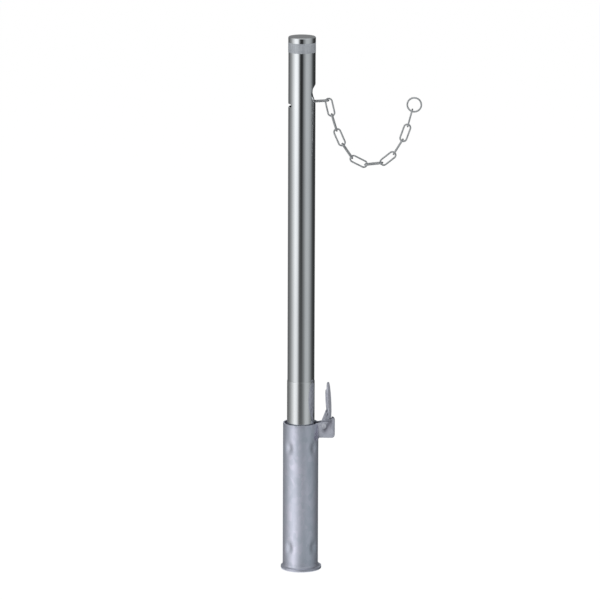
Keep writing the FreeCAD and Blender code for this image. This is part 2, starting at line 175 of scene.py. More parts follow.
def rounded_outline(corners: Sequence[Sequence[float]], radii: Sequence[float], steps: int = 4) -> np.ndarray:
    """A closed outline with an arc at each corner that touches both of its sides.

    The arc's centre lies on the corner's bisector, radius over sine of the half angle away.

    Args:
        corners: the outline's corners in order.
        radii: a radius for each corner, 0 for a sharp one.
        steps: straight pieces in each arc.

    Returns:
        The outline's points.
    """
    corner = np.asarray(corners, float)
    parts = []
    for number, radius in enumerate(radii):
        here = corner[number]
        if radius <= 0:
            parts.append(here[None])
            continue
        back = corner[number - 1] - here
        ahead = corner[(number + 1) % len(corner)] - here
        back, ahead = back / np.linalg.norm(back), ahead / np.linalg.norm(ahead)
        half = math.acos(float(np.clip(back @ ahead, -1, 1))) / 2
        middle = back + ahead
        centre = here + middle / np.linalg.norm(middle) * radius / math.sin(half)
        first = here + back * radius / math.tan(half) - centre
        last = here + ahead * radius / math.tan(half) - centre
        start = math.atan2(first[1], first[0])
        sweep = math.atan2(first[0] * last[1] - first[1] * last[0], float(first @ last))
        angle = start + sweep * np.linspace(0, 1, steps + 1)
        parts.append(centre + polar(radius, angle))
    return np.concatenate(parts)


def arc(centre: Sequence[float], radius: float, start_deg: float, end_deg: float, steps: int) -> np.ndarray:
    """Points on a circle's arc, from one angle to another."""
    angle = np.radians(np.linspace(start_deg, end_deg, steps + 1))
    return np.asarray(centre, float) + polar(radius, angle)


def turned(profile: np.ndarray, columns: int = 144, closed: bool = True) -> Skin:
    """A body of revolution: each profile point (radius, height) goes round the Z axis.

    Args:
        profile: radius and height of each point; a radius of 0 makes a pole.
        columns: steps round the axis.
        closed: join the profile's last point to its first.

    Returns:
        The skin.
    """
    angle = np.arange(columns) * FULL_TURN / columns
    points = raised(polar(profile[:, :1], angle), profile[:, 1:])
    return Skin.of_grid(points, wrap_rows=closed, wrap_columns=True)


def ring_tube(outer_r: float, inner_r: float, low_z: float, high_z: float, edge: float) -> Skin:
    """A plain tube whose four rims are rounded by an edge radius."""
    corners = [(outer_r, low_z), (outer_r, high_z), (inner_r, high_z), (inner_r, low_z)]
    return turned(rounded_outline(corners, [edge] * 4, 3))


def plate(outline: np.ndarray, half: float, edge: float, heart: Sequence[float]) -> Skin:
    """A flat plate with rounded edges, cut to an outline in XZ that can be seen whole from its heart.

    Row by row: the heart, the outline drawn in by the edge radius, a quarter circle over each rim, and back.

    Args:
        outline: closed outline as x and z.
        half: half the plate's thickness, along Y.
        edge: radius of the rounded rims.
        heart: the x and z that both faces fan out from.

    Returns:
        The skin.
    """
    ahead = np.roll(outline, -1, axis=0) - np.roll(outline, 1, axis=0)
    inward = np.stack([-ahead[:, 1], ahead[:, 0]], axis=-1)
    inward /= np.linalg.norm(inward, axis=1, keepdims=True)
    towards = np.asarray(heart, float) - outline
    inward *= np.sign(np.sum(inward * towards, axis=1, keepdims=True).mean())
    quarter = np.linspace(0, math.pi / 2, EDGE_STEPS + 1)
    draw_in = np.concatenate([1 - np.sin(quarter), 1 - np.cos(quarter)[1:]])
    draw_in = edge * np.concatenate([[PLATE_HOLD], draw_in, [PLATE_HOLD]])
    depth = np.concatenate([[half], half - edge * (1 - np.cos(quarter)),
                            -(half - edge * (1 - np.sin(quarter)))[1:], [-half]])
    rings = outline[None] + inward[None] * draw_in[:, None, None]
    points = np.empty((len(depth) + 2, len(outline), 3))
    points[1:-1, :, 0], points[1:-1, :, 2] = rings[..., 0], rings[..., 1]
    points[1:-1, :, 1] = depth[:, None]
    for row, y in ((0, half), (-1, -half)):
        points[row] = (heart[0], y, heart[1])
    return Skin.of_grid(points, wrap_columns=True)


def swept_wire(path: np.ndarray, across: np.ndarray, radius: np.ndarray, sides: int, closed: bool) -> Skin:
    """Round wire along a flat path: each ring is centre + radius (cos across + sin third direction).

    Args:
        path: points of the centre line.
        across: the unit direction square to the plane that the path lies in.
        radius: the wire's radius at each point; 0 at an end closes it.
        sides: points round the wire.
        closed: join the path's end to its start.

    Returns:
        The skin.
    """
    if closed:
        ahead = np.roll(path, -1, axis=0) - np.roll(path, 1, axis=0)
    else:
        ahead = np.gradient(path, axis=0)
    ahead /= np.linalg.norm(ahead, axis=1, keepdims=True)
    third = np.cross(ahead, across)
    angle = np.arange(sides) * FULL_TURN / sides
    out = np.cos(angle)[None, :, None] * across + np.sin(angle)[None, :, None] * third[:, None, :]
    points = path[:, None, :] + out * radius[:, None, None]
    return Skin.of_grid(points, wrap_rows=closed, wrap_columns=True)


# ---- finishes


class Recipe:
    """Adds nodes to one material and links them."""

    def __init__(self, name: str) -> None:
        """Makes an empty material with its shader and output.

        Args:
            name: the material's name.
        """
        self.material = bpy.data.materials.new(name)
        self.material.use_nodes = True
        self.tree = self.material.node_tree
        self.shader = self.tree.nodes["Principled BSDF"]
        self.place = self.tree.nodes.new("ShaderNodeTexCoord").outputs["Object"]

    def node(self, kind: str, **inputs: object) -> bpy.types.Node:
        """A node whose inputs are set from values, or linked from other nodes' outputs.

        Args:
            kind: the node's type.
            inputs: a value or an output for each input, by its name with _ for a space.

        Returns:
            The node.
        """
        made = self.tree.nodes.new(kind)
        for name, value in inputs.items():
            self.feed(made.inputs[name.replace("_", " ")], value)
        return made

    def feed(self, socket: bpy.types.NodeSocket, value: object) -> None:
        """Sets a socket's value, or links an output to it.

        Args:
            socket: an input.
            value: a constant, or another node's output.
        """
        if isinstance(value, bpy.types.NodeSocket):
            self.tree.links.new(value, socket)
        else:
            socket.default_value = value

    def surface(self, **inputs: object) -> bpy.types.Material:
        """Sets or links the shader's own inputs.

        Args:
            inputs: a value or an output for each input, by its name with _ for a space.

        Returns:
            The finished material.
        """
        for name, value in inputs.items():
            self.feed(self.shader.inputs[name.replace("_", " ")], value)
        return self.material

    def mixed(self, share: object, first: bpy.types.NodeSocket,
              second: bpy.types.NodeSocket) -> bpy.types.NodeSocket:
        """A shader between two, by a share from 0 to 1.

        Args:
            share: 0 for the first shader, 1 for the second.
            first: a shader's output.
            second: the same.

        Returns:
            The mixed shader.
        """
        made = self.tree.nodes.new("ShaderNodeMixShader")
        for socket, value in zip(made.inputs, (share, first, second)):
            self.feed(socket, value)
        return made.outputs[0]

    def attribute(self, name: str) -> bpy.types.Node:
        """A node that reads a mesh's own attribute.

        Args:
            name: the attribute's name.

        Returns:
            The node.
        """
        made = self.tree.nodes.new("ShaderNodeAttribute")
        made.attribute_name = name
        return made

    def stretched(self, scale: Sequence[float]) -> bpy.types.NodeSocket:
        """The object's coordinates, multiplied along each axis."""
        return self.node("ShaderNodeMapping", Vector=self.place, Scale=tuple(scale)).outputs["Vector"]

    def noise(self, scale: float, detail: float = 2.0,
              stretch: Sequence[float] = (1, 1, 1)) -> bpy.types.NodeSocket:
        """Soft noise from 0 to 1, in cells of about one over scale metres."""
        return self.node("ShaderNodeTexNoise", Vector=self.stretched(stretch), Scale=scale,
                         Detail=detail).outputs["Fac"]

    def spread(self, source: bpy.types.NodeSocket, low: float, high: float, start: float = 0.3,
               end: float = 0.7) -> bpy.types.NodeSocket:
        """Maps a source from start..end to low..high, held at both ends.

        Args:
            source: the output that is mapped.
            low: the result at the start.
            high: the result at the end.
            start: the source's value at the start.
            end: the source's value at the end.

        Returns:
            The mapped output.
        """
        made = self.node("ShaderNodeMapRange")
        for name, value in (("Value", source), ("From Min", start), ("From Max", end), ("To Min", low),
                            ("To Max", high)):
            self.feed(made.inputs[name], value)
        return made.outputs["Result"]

    def blend(self, share: bpy.types.NodeSocket, first: object, second: object) -> bpy.types.NodeSocket:
        """A colour between two, by a share from 0 to 1.

        Args:
            share: 0 for the first colour, 1 for the second.
            first: three numbers, or another node's colour.
            second: the same.

        Returns:
            The mixed colour.
        """
        made = self.tree.nodes.new("ShaderNodeMix")
        made.data_type = "RGBA"
        self.feed(made.inputs[0], share)
        for socket, colour in ((made.inputs[6], first), (made.inputs[7], second)):
            self.feed(socket, colour if isinstance(colour, bpy.types.NodeSocket) else (*colour, 1.0))
        return made.outputs[2]

    def maths(self, operation: str, first: object, second: object = 0.0) -> bpy.types.NodeSocket:
        """One sum on two numbers.

        Args:
            operation: the sum's name.
            first: a number, or another node's output.
            second: the same.

        Returns:
            The result.
        """
        made = self.tree.nodes.new("ShaderNodeMath")
        made.operation = operation
        self.feed(made.inputs[0], first)
        self.feed(made.inputs[1], second)
        return made.outputs[0]

    def bump(self, height: bpy.types.NodeSocket, depth: float,
             below: Optional[bpy.types.NodeSocket] = None) -> bpy.types.NodeSocket:
        """A bumped normal from a height.

        Args:
            height: the height, 0 to 1.
            depth: metres from a height of 0 to a height of 1.
            below: a normal that this one is laid over.

        Returns:
            The normal.
        """
        made = self.node("ShaderNodeBump", Height=height, Distance=depth, Strength=1.0)
        if below is not None:
            self.feed(made.inputs["Normal"], below)
        return made.outputs["Normal"]


@dataclass(frozen=True)
class PolishedSteel:
    """Stainless steel tube, polished: faint hairlines round it, faint waves in the wall, haze in patches."""

    name: str = "polished_stainless"
    colour: tuple = (0.80, 0.81, 0.82)
    worn_colour: tuple = (0.74, 0.755, 0.77)
    smooth: float = 0.055
    hazy: float = 0.1
    hairline_depth: float = 2e-6
    hairline_rough: float = 0.03
    wave_depth: float = 2e-5
    haze_scale: float = 14.0
    hairline_scale: float = 60.0
    wave_scale: float = 9.0
    haze_stretch: tuple = (1.0, 1.0, 0.35)
    hairline_stretch: tuple = (0.6, 0.6, 55.0)
    wave_stretch: tuple = (1.0, 1.0, 0.6)

    def material(self) -> bpy.types.Material:
        """Makes the finish.

        Returns:
            The material.
        """
        recipe = Recipe(self.name)
        haze = recipe.noise(self.haze_scale, 3, self.haze_stretch)
        lines = recipe.noise(self.hairline_scale, 3, self.hairline_stretch)
        waves = recipe.noise(self.wave_scale, 1, self.wave_stretch)
        rough = recipe.maths("ADD", recipe.spread(haze, self.smooth, self.hazy),
                             recipe.spread(lines, 0.0, self.hairline_rough))
        return recipe.surface(
            Base_Color=recipe.blend(recipe.spread(haze, 0, 1), self.colour, self.worn_colour), Metallic=1.0,
            Roughness=rough,
            Normal=recipe.bump(lines, self.hairline_depth, recipe.bump(waves, self.wave_depth)))


@dataclass(frozen=True)
class Galvanised:
    """Hot-dip zinc: blue grey with faint crystals, cloudy patches, runs and a slightly lumpy skin."""

    name: str = "galvanised_zinc"
    pale: tuple = (0.66, 0.66, 0.76)
    deep: tuple = (0.53, 0.57, 0.65)
    crystal_size: float = 0.0065
    smooth: float = 0.36
    dull: float = 0.5
    metal: float = 0.85
    # colour of the painted shade laid into what the mesh marks as the crease, None for none
    hollow: Optional[tuple] = None
    crystal_share: float = 0.25
    cloud_scale: float = 30.0
    lump_scale: float = 120.0
    grain_scale: float = 700.0
    lump_depth: float = 6e-5
    grain_depth: float = 1.2e-5
    cloud_stretch: tuple = (1.0, 1.0, 0.45)
    crystal_stretch: tuple = (1.0, 1.0, 0.7)
    lump_stretch: tuple = (1.0, 1.0, 0.5)
    # the weakest share of the painted crease shade, which the lumps vary up to full
    least_crease_shade: float = 0.75

    def material(self) -> bpy.types.Material:
        """Makes the finish; where a colour of painted shade is given, it darkens what the mesh marks as lying in
        the crease, as painted shade.

        Returns:
            The material.
        """
        recipe = Recipe(self.name)
        clouds = recipe.noise(self.cloud_scale, 4, self.cloud_stretch)
        crystals = recipe.node("ShaderNodeTexVoronoi", Vector=recipe.stretched(self.crystal_stretch),
                               Scale=1 / self.crystal_size)
        tone = recipe.node("ShaderNodeSeparateColor", Color=crystals.outputs["Color"]).outputs[0]
        lumps = recipe.noise(self.lump_scale, 2, self.lump_stretch)
        mixed = recipe.maths("ADD", recipe.maths("MULTIPLY", clouds, 1 - self.crystal_share),
                             recipe.maths("MULTIPLY", tone, self.crystal_share))
        colour = recipe.blend(recipe.spread(mixed, 0, 1), self.pale, self.deep)
        # painted shade: the crease's mark, thinned unevenly by the lumps, darkens the colour towards the shade
        # colour
        if self.hollow is not None:
            depth = recipe.maths("MULTIPLY", recipe.attribute(PAINTED_CREASE_SHADE).outputs["Fac"],
                                 recipe.spread(lumps, self.least_crease_shade, 1.0))
            colour = recipe.blend(depth, colour, self.hollow)
        return recipe.surface(
            Base_Color=colour, Metallic=self.metal, Roughness=recipe.spread(mixed, self.smooth, self.dull),
            Normal=recipe.bump(recipe.noise(self.grain_scale, 2), self.grain_depth,
                               recipe.bump(lumps, self.lump_depth)))


@dataclass(frozen=True)
class WireSteel:
    """Drawn and tumbled steel: small pits and scuffs, duller in the hollows."""

    name: str
    colour: tuple
    scuffed: tuple
    smooth: float
    dull: float
    pit_depth: float = 2e-5
    metal: float = 1.0
    scuff_scale: float = 260.0
    pit_scale: float = 1500.0

    def material(self) -> bpy.types.Material:
        """Makes the finish.

        Returns:
            The material.
        """
        recipe = Recipe(self.name)
        scuffs = recipe.noise(self.scuff_scale, 4)
        return recipe.surface(
            Base_Color=recipe.blend(recipe.spread(scuffs, 0, 1), self.colour, self.scuffed),
            Metallic=self.metal, Roughness=recipe.spread(scuffs, self.smooth, self.dull),
            Normal=recipe.bump(recipe.noise(self.pit_scale, 2), self.pit_depth))


@dataclass(frozen=True)
class SilverFilm:
    """Silver reflective film: fine cells under a clear top layer, slightly uneven in tone."""

    name: str = "silver_reflective_film"
    colour: tuple = (0.43, 0.455, 0.485)
    cell_line: tuple = (0.31, 0.33, 0.36)
    cell_size: float = 0.0026
    cell_random: float = 0.35
    line_width: float = 0.12
    line_depth: float = 4e-5
    tone_scale: float = 220.0
    most_tone: float = 0.45
    metal: float = 0.35
    smooth: float = 0.42
    dull: float = 0.55
    coat: float = 0.25
    coat_rough: float = 0.3

    def material(self) -> bpy.types.Material:
        """Makes the finish.

        Returns:
            The material.
        """
        recipe = Recipe(self.name)
        cells = recipe.tree.nodes.new("ShaderNodeTexVoronoi")
        cells.feature = "DISTANCE_TO_EDGE"
        for name, value in (("Vector", recipe.place), ("Scale", 1 / self.cell_size),
                            ("Randomness", self.cell_random)):
            recipe.feed(cells.inputs[name], value)
        line = recipe.spread(cells.outputs["Distance"], 1, 0, 0.0, self.line_width)
        tone = recipe.noise(self.tone_scale, 3)
        patchy = recipe.blend(recipe.spread(tone, 0, self.most_tone), self.colour, self.cell_line)
        return recipe.surface(
            Base_Color=recipe.blend(line, patchy, self.cell_line), Metallic=self.metal,
            Roughness=recipe.spread(tone, self.smooth, self.dull), Coat_Weight=self.coat,
            Coat_Roughness=self.coat_rough, Normal=recipe.bump(line, self.line_depth))


def made_of(kind: type, **looks: object) -> bpy.types.Material:
    """A field that holds the material of a finish of one kind, made when its owner is."""
    return field(default_factory=lambda: kind(**looks).material())


@dataclass
class Finishes:
    """Every finish, made once."""

    mirror: bpy.types.Material = made_of(PolishedSteel)
    satin: bpy.types.Material = made_of(
        PolishedSteel, name="satin_stainless", colour=(0.87, 0.88, 0.885), worn_colour=(0.82, 0.835, 0.84),
        smooth=0.13, hazy=0.20, hairline_depth=5e-6)
    zinc: bpy.types.Material = made_of(Galvanised)
    casting: bpy.types.Material = made_of(
        Galvanised, name="galvanised_casting", pale=(0.55, 0.56, 0.63), deep=(0.35, 0.37, 0.43),
        crystal_size=0.006, smooth=0.40, dull=0.60, metal=0.45)
    # the pocket's finish darkens its crease with painted shade
    pocket: bpy.types.Material = made_of(
        Galvanised, name="galvanised_pocket", pale=(0.52, 0.53, 0.60), deep=(0.38, 0.40, 0.46),
        crystal_size=0.005, smooth=0.42, dull=0.58, metal=0.45, hollow=(0.16, 0.16, 0.20))
    weld: bpy.types.Material = made_of(
        Galvanised, name="galvanised_weld", pale=(0.46, 0.46, 0.56), deep=(0.21, 0.21, 0.29),
        crystal_size=0.003, smooth=0.4, dull=0.6, metal=0.6)
    chain: bpy.types.Material = made_of(
        WireSteel, name="chain_wire", colour=(0.74, 0.75, 0.76), scuffed=(0.58, 0.59, 0.60),
        smooth=0.26, dull=0.42)
    rivet: bpy.types.Material = made_of(
        WireSteel, name="zinc_plated_rivet", colour=(0.50, 0.51, 0.56), scuffed=(0.41, 0.43, 0.48),
        smooth=0.45, dull=0.6, metal=0.35)
    film: bpy.types.Material = made_of(SilverFilm)


# ---- making pieces


@dataclass
class Bench:
    """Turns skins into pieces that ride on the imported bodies, and gives finishes to the nodes that stay.

    Attributes:
        weld_distance: points nearer than this, in metres, become one.
        sharp_deg: edges that turn by more stay sharp.
    """

    weld_distance: float = 4e-7
    sharp_deg: float = 32.0

    def piece(self, name: str, skin: Skin, material: bpy.types.Material, body: str,
              replaces: Sequence[str] = ()) -> bpy.types.Object:
        """A closed piece in metres, its faces turned outwards, riding on a body.

        Args:
            name: the piece's name.
            skin: its shape in millimetres, in the frame.
            material: its finish.
            body: the body it moves with.
            replaces: the nodes that it stands for.

        Returns:
            The object.
        """
        mesh = bpy.data.meshes.new(name)
        mesh.vertices.add(len(skin.points))
        mesh.vertices.foreach_set("co", (skin.points * MM).astype(np.float32).ravel())
        mesh.loops.add(skin.quads.size)
        mesh.loops.foreach_set("vertex_index", skin.quads.astype(np.int32).ravel())
        mesh.polygons.add(len(skin.quads))
        mesh.polygons.foreach_set("loop_start", np.arange(0, skin.quads.size, 4, dtype=np.int32))
        mesh.update(calc_edges=True)
        work = bmesh.new()
        work.from_mesh(mesh)
        bmesh.ops.remove_doubles(work, verts=work.verts, dist=self.weld_distance)
        bmesh.ops.recalc_face_normals(work, faces=work.faces)
        work.to_mesh(mesh)
        work.free()
        mesh.polygons.foreach_set("use_smooth", np.ones(len(mesh.polygons), bool))
        mesh.set_sharp_from_angle(angle=math.radians(self.sharp_deg))
        mesh.materials.append(material)
        obj = bpy.data.objects.new(name, mesh)
        bpy.context.scene.collection.objects.link(obj)
        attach(obj, body)
        if replaces:
            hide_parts(*replaces)
        LOG.info("%s: %d faces, rides on %s", name, len(mesh.polygons), body)
        return obj

    @staticmethod
    def dress(node: str, material: bpy.types.Material) -> None:
        """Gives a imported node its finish.

        Args:
            node: the node's name.
            material: its finish.
        """
        obj = frame["nodes"][node]
        obj.data.materials.clear()
        obj.data.materials.append(material)
        LOG.info("%s: packed node dressed", node)


# ---- the object's parts


def rippled(place: np.ndarray, *waves: Sequence[float]) -> np.ndarray:
    """The sum of sine waves, each given as its height and its turning per millimetre."""
    return sum(height * np.sin(place * pace) for height, pace in waves)


def closing(place: np.ndarray) -> np.ndarray:
    """A share that is 1 along a bead and falls to 0 at both of its ends, at -1 and 1."""
    return np.sqrt(np.clip(1 - place ** 8, 0, 1))


@dataclass
class Socket:
    """The galvanised ground socket: dented tube with a bell mouth, lock pocket, hinge rivet and welds.

    Sizes are in millimetres. The foot stands on z = 0. A weld's ripples are pairs of height and turns per
    millimetre along it.
    """

    radius: float = 31.75
    wall: float = 2.3
    height: float = 268.0
    rim_top: float = 269.4
    foot_r: float = 36.5
    flare_h: float = 10.0
    foot_lean: float = 1.3
    lip_h: float = 5.0
    bell_lip_h: float = 2.0
    seat_h: float = 3.0
    lip_edges: tuple = (0, 0.3, 1.0, 0)
    flare_steps: tuple = (8, 10)
    rim_edge: float = 0.6
    dent_deep: float = 2.9
    dent_w: float = 7.6
    dent_h: float = 10.5
    dent_turn_deg: float = 8.0
    dent_depths: tuple = (41.5, 225.0)
    close_half: float = 19.0
    close_step: float = 1.0
    wide_step: float = 9.0
    wide_clear: float = 3.0
    least_step: float = 0.4
    slot_half: float = 7.0
    slot_floor: float = 247.6
    columns: int = 192
    slot_column: int = 7
    pocket_reach: float = 61.2
    pocket_half: float = 10.0
    pocket_wall: float = 3.0
    pocket_low: float = 243.5
    bend_r: float = 8.0
    toe_rise: float = 1.9
    cheek_rise: float = 4.6
    slope_end: float = 45.0
    stop_rise: float = 11.0
    stop_w: float = 8.6
    ramp_w: float = 2.8
    stop_r: float = 5.0
    low_r: float = 3.5
    pocket_edge: float = 0.6
    pocket_start: float = 0.6
    pocket_rim_points: int = 4
    pocket_rows: int = 27
    pocket_stations: int = 40
    bend_points: int = 13
    crease: tuple = ((56.0, 277.0), (41.5, 254.0))
    crease_w: float = 3.8
    crease_far_w: float = 5.0
    crease_deep: float = 1.9
    crease_fade: float = 5.0
    # how far in from a cheek's outer face the painted crease shade reaches
    crease_shade_reach: float = 2.4
    weld_r: float = 1.5
    weld_swell: float = 2.5
    weld_drop: float = 4.6
    weld_top: float = 1.0
    weld_taper: tuple = (1.25, 1.5)
    weld_grid: tuple = (120, 18)
    weld_spread: float = 0.16
    weld_ripples: tuple = ((0.35, 2.1), (0.3, 0.9))
    weld_sway: tuple = (0.22, 1.9)
    seam_sway: tuple = (0.03, 0.8)
    under_weld_r: float = 2.3
    under_ripple: tuple = (0.2, 2.7)
    under_weld_past: float = 0.6
    under_weld_shift: tuple = (0.2, -0.1)
    under_weld_grid: tuple = (70, 14)
    pin_x: float = 41.7
    pin_z: float = 264.9
    pin_r: float = 3.0
    pin_head_r: float = 5.0
    pin_head_h: float = 2.2
    pin_head_edge: float = 0.15
    pin_head_steps: int = 10
    pin_columns: int = 48

    def foot_profile(self) -> np.ndarray:
        """The bell mouth's profile; each side's flare is an arc that touches the wall at the flare's top.

        Returns:
            Radius and height from the inner wall down round the lip and up to the outer wall.
        """
        reach, height = self.foot_r - self.radius, self.flare_h - self.lip_h
        outer = (reach ** 2 + height ** 2) / (2 * reach)
        bell_h = self.flare_h - self.bell_lip_h
        inner = (reach ** 2 + bell_h ** 2) / (2 * reach) + self.wall
        centre = (self.radius + outer, self.flare_h)
        inner_centre = (self.radius - self.wall + inner, self.flare_h)
        inner_turn = math.degrees(math.asin((self.flare_h - self.seat_h) / inner))
        outer_turn = math.degrees(math.asin(height / outer))
        seat_r = inner_centre[0] - math.sqrt(inner ** 2 - (self.flare_h - self.seat_h) ** 2)
        corners = [(seat_r, self.seat_h), (seat_r, 0), (self.foot_r, 0), (self.foot_r, self.lip_h)]
        inside, outside = self.flare_steps
        return np.concatenate([arc(inner_centre, inner, 180, 180 + inner_turn, inside)[1:-1],
                               rounded_outline(corners, self.lip_edges, EDGE_STEPS),
                               arc(centre, outer, 180 + outer_turn, 180, outside)[1:-1]])

    def dented(self, base_r: float, angle: np.ndarray, height: np.ndarray) -> np.ndarray:
        """The wall's radius with the pressed dents.

        Each dent takes its depth times exp(-(arc / width) squared - (rise / height) squared) off the radius.

        Args:
            base_r: the plain wall's radius.
            angle: the points' angles.
            height: their heights.

        Returns:
            A radius for each pair of angle and height.
        """
        result = np.full(np.broadcast(angle, height).shape, base_r)
        for depth in self.dent_depths:
            rise = (height - (self.height - depth)) / self.dent_h
            for quarter in range(4):
                middle = (quarter + 0.5) * math.pi / 2 + math.radians(self.dent_turn_deg)
                swing = (angle - middle + math.pi) % FULL_TURN - math.pi
                across = swing * self.radius / self.dent_w
                result = result - self.dent_deep * np.exp(-across ** 2 - rise ** 2)
        return result

    def wall_heights(self) -> np.ndarray:
        """Rows up the wall: close together at the dents and at the slot's floor, wide elsewhere.

        Returns:
            The rows' heights.
        """
        top = self.rim_top - self.rim_edge
        marks = [self.flare_h, self.slot_floor, top]
        count = round(2 * self.close_half / self.close_step) + 1
        steps = np.linspace(-self.close_half, self.close_half, count)
        close = [self.height - depth + steps for depth in self.dent_depths]
        wide = np.arange(self.flare_h, top, self.wide_step)
        near = np.min([np.abs(wide[:, None] - rows).min(axis=1) for rows in close], axis=0)
        rows = np.unique(np.concatenate([marks, *close, wide[near > self.wide_clear]]))
        keep = (np.abs(rows - self.slot_floor) > self.least_step) | (rows == self.slot_floor)
        return rows[keep & (rows <= top)]

    def tube(self) -> Skin:
        """The dented wall as one closed profile carried round the axis, with the slot cut in its rim.

        Returns:
            The wall.
        """
        rows = self.wall_heights()
        angle = np.arange(self.columns) * FULL_TURN / self.columns
        outer_angle, inner_angle = angle.copy(), angle.copy()
        for column, sign in ((self.slot_column, 1), (self.columns - self.slot_column, -1)):
            outer_angle[column] = sign * math.asin(self.slot_half / self.radius) % FULL_TURN
            inner_angle[column] = sign * math.asin(self.slot_half / (self.radius - self.wall)) % FULL_TURN
        inner_r = self.radius - self.wall
        outer = self.dented(self.radius, outer_angle[None], rows[:, None])
        inner = self.dented(inner_r, inner_angle[None], rows[::-1, None])
        edge, rim_low = self.rim_edge, self.rim_top - self.rim_edge
        rim = np.concatenate([arc((self.radius - edge, rim_low), edge, 0, 90, EDGE_STEPS)[1:],
                              arc((inner_r + edge, rim_low), edge, 90, 180, EDGE_STEPS)[:-1]])
        foot = self.foot_profile()
        ones = np.ones(self.columns)
        radius = np.concatenate([outer, rim[:, :1] * ones, inner, foot[:, :1] * ones])
        height = np.concatenate([rows, rim[:, 1], rows[::-1], foot[:, 1]])
        share = np.concatenate([np.zeros(len(rows)), np.linspace(0, 1, len(rim)), np.ones(len(rows)),
                                np.linspace(1, 0, len(foot))])[:, None]
        swing = (inner_angle - outer_angle + math.pi) % FULL_TURN - math.pi
        turn = outer_angle + share * swing
        out = np.clip((radius - self.radius) / (self.foot_r - self.radius), 0, 1)
        points = raised(polar(radius, turn), height[:, None])
        points[..., 0] += self.foot_lean * out
        cut_row = int(np.argmin(np.abs(rows - self.slot_floor)))
        last_cut = len(rows) + len(rim) + (len(rows) - 1 - cut_row)
        keep = np.ones((len(points), self.columns), bool)
        cut_rows = np.arange(cut_row, last_cut)
        cut_columns = np.arange(-self.slot_column, self.slot_column) % self.columns
        keep[np.ix_(cut_rows, cut_columns)] = False
        shell = Skin.of_grid(points, wrap_rows=True, wrap_columns=True, keep=keep)
        half = (last_cut - cut_row + 1) // 2
        lips = []
        for column in (self.slot_column, self.columns - self.slot_column):
            edge = points[cut_row:last_cut + 1, column]
            lips.append(Skin.of_grid(np.stack([edge[:half], edge[::-1][:half]])))
        across = np.arange(-self.slot_column, self.slot_column + 1) % self.columns
        lips.append(Skin.of_grid(np.stack([points[cut_row, across], points[last_cut, across]])))
        return shell.joined(*lips)

    def cheek_top(self, x: np.ndarray) -> np.ndarray:
        """The pocket's top edge: it climbs from the rim, runs level, and ramps to the rounded stop.

        Args:
            x: places along the pocket.

        Returns:
            The edge's height at each place.
        """
        stop, ramp = self.height + self.stop_rise, self.pocket_reach - self.stop_w
        level = np.interp(x, [self.radius - self.wall, self.slope_end, ramp, ramp + self.ramp_w],
                          [self.height + self.toe_rise, self.height + self.cheek_rise,
                           self.height + self.cheek_rise, stop])
        past = np.clip(x - (self.pocket_reach - self.stop_r), 0, self.stop_r)
        return np.minimum(level, stop - self.stop_r + np.sqrt(self.stop_r ** 2 - past ** 2))

    def cheek_low(self, x: np.ndarray) -> np.ndarray:
        """The pocket's bottom edge: level, with a rounded outer corner.

        Args:
            x: places along the pocket.

        Returns:
            The edge's height at each place.
        """
        past = np.clip(x - (self.pocket_reach - self.low_r), 0, self.low_r)
        return self.pocket_low + self.low_r - np.sqrt(self.low_r ** 2 - past ** 2)

    def pocket(self) -> Skin:
        """The bent strip: a rounded section carried along a U in plan.

        At each station the section runs up the outside, over a rounded rim and down the inside; its heights
        follow the side view's edges at each point's own x.

        Returns:
            The strip.
        """
        start_r, bend_x = self.radius - self.wall + self.pocket_start, self.pocket_reach - self.bend_r
        edge, thick = self.pocket_edge, self.pocket_wall
        quarter = np.linspace(0, math.pi / 2, self.pocket_rim_points)
        sides = np.linspace(0, 1, self.pocket_rows)[1:-1]
        depth = np.concatenate([edge * (1 - np.sin(quarter)), 0 * sides, edge * (1 - np.cos(quarter))])
        depth = np.concatenate([depth, thick - depth[::-1]])
        up = np.concatenate([0 * quarter, sides, 0 * quarter + 1])
        up = np.concatenate([up, up[::-1]])
        lift = np.concatenate([edge * (1 - np.cos(quarter)), 0 * sides, -edge * (1 - np.sin(quarter))])
        lift = np.concatenate([lift, lift[::-1]])
        marks = np.array([self.slope_end, self.pocket_reach - self.stop_w])
        run = np.concatenate([np.linspace(0, 1, self.pocket_stations), (marks - start_r) / (bend_x - start_r)])
        cheek_y = self.pocket_half - depth
        first_x = np.sqrt(start_r ** 2 - cheek_y ** 2)
        cheek_x = first_x + np.unique(run)[:, None] * (bend_x - first_x)
        cheek = np.stack([cheek_x, np.broadcast_to(cheek_y, cheek_x.shape)], axis=-1)
        swing = np.radians(np.linspace(0, 90, self.bend_points))[1:, None]
        bend_c = self.pocket_half - self.bend_r
        bend = np.stack([bend_x + (self.bend_r - depth) * np.sin(swing),
                         bend_c + (self.bend_r - depth) * np.cos(swing)], axis=-1)
        half = np.concatenate([cheek, bend])
        plan = np.concatenate([half, half[::-1] * (1, -1)])
        low, top = self.cheek_low(plan[..., 0]), self.cheek_top(plan[..., 0])
        points = raised(plan, low + up * (top - low) + lift)
        points[..., 1] -= np.sign(points[..., 1]) * self.creased(points) * (1 - depth / thick)
        shell = Skin.of_grid(points, wrap_columns=True)
        pair = len(depth) // 2
        ends = [Skin.of_grid(np.stack([points[row, :pair], points[row, ::-1][:pair]])) for row in (0, -1)]
        return shell.joined(*ends)

    def creased(self, points: np.ndarray) -> np.ndarray:
        """How deep the pressed crease is at each point of a cheek's outer face.

        It falls off as a bell curve of the distance to the line between the crease's ends, steeper on the
        rivet's side, and fades past them.

        Args:
            points: x, y and z of each point.

        Returns:
            A depth for each point.
        """
        first, last = np.array(self.crease)
        along = last - first
        length = np.linalg.norm(along)
        away = points[..., [0, 2]] - first
        share = away @ along / length ** 2
        side = (away[..., 0] * along[1] - away[..., 1] * along[0]) / length
        fade = np.clip(np.minimum(share, 1 - share) * self.crease_fade + 0.5, 0, 1)
        width = np.where(side > 0, self.crease_w, self.crease_far_w)
        return self.crease_deep * np.exp(-(side / width) ** 2) * fade

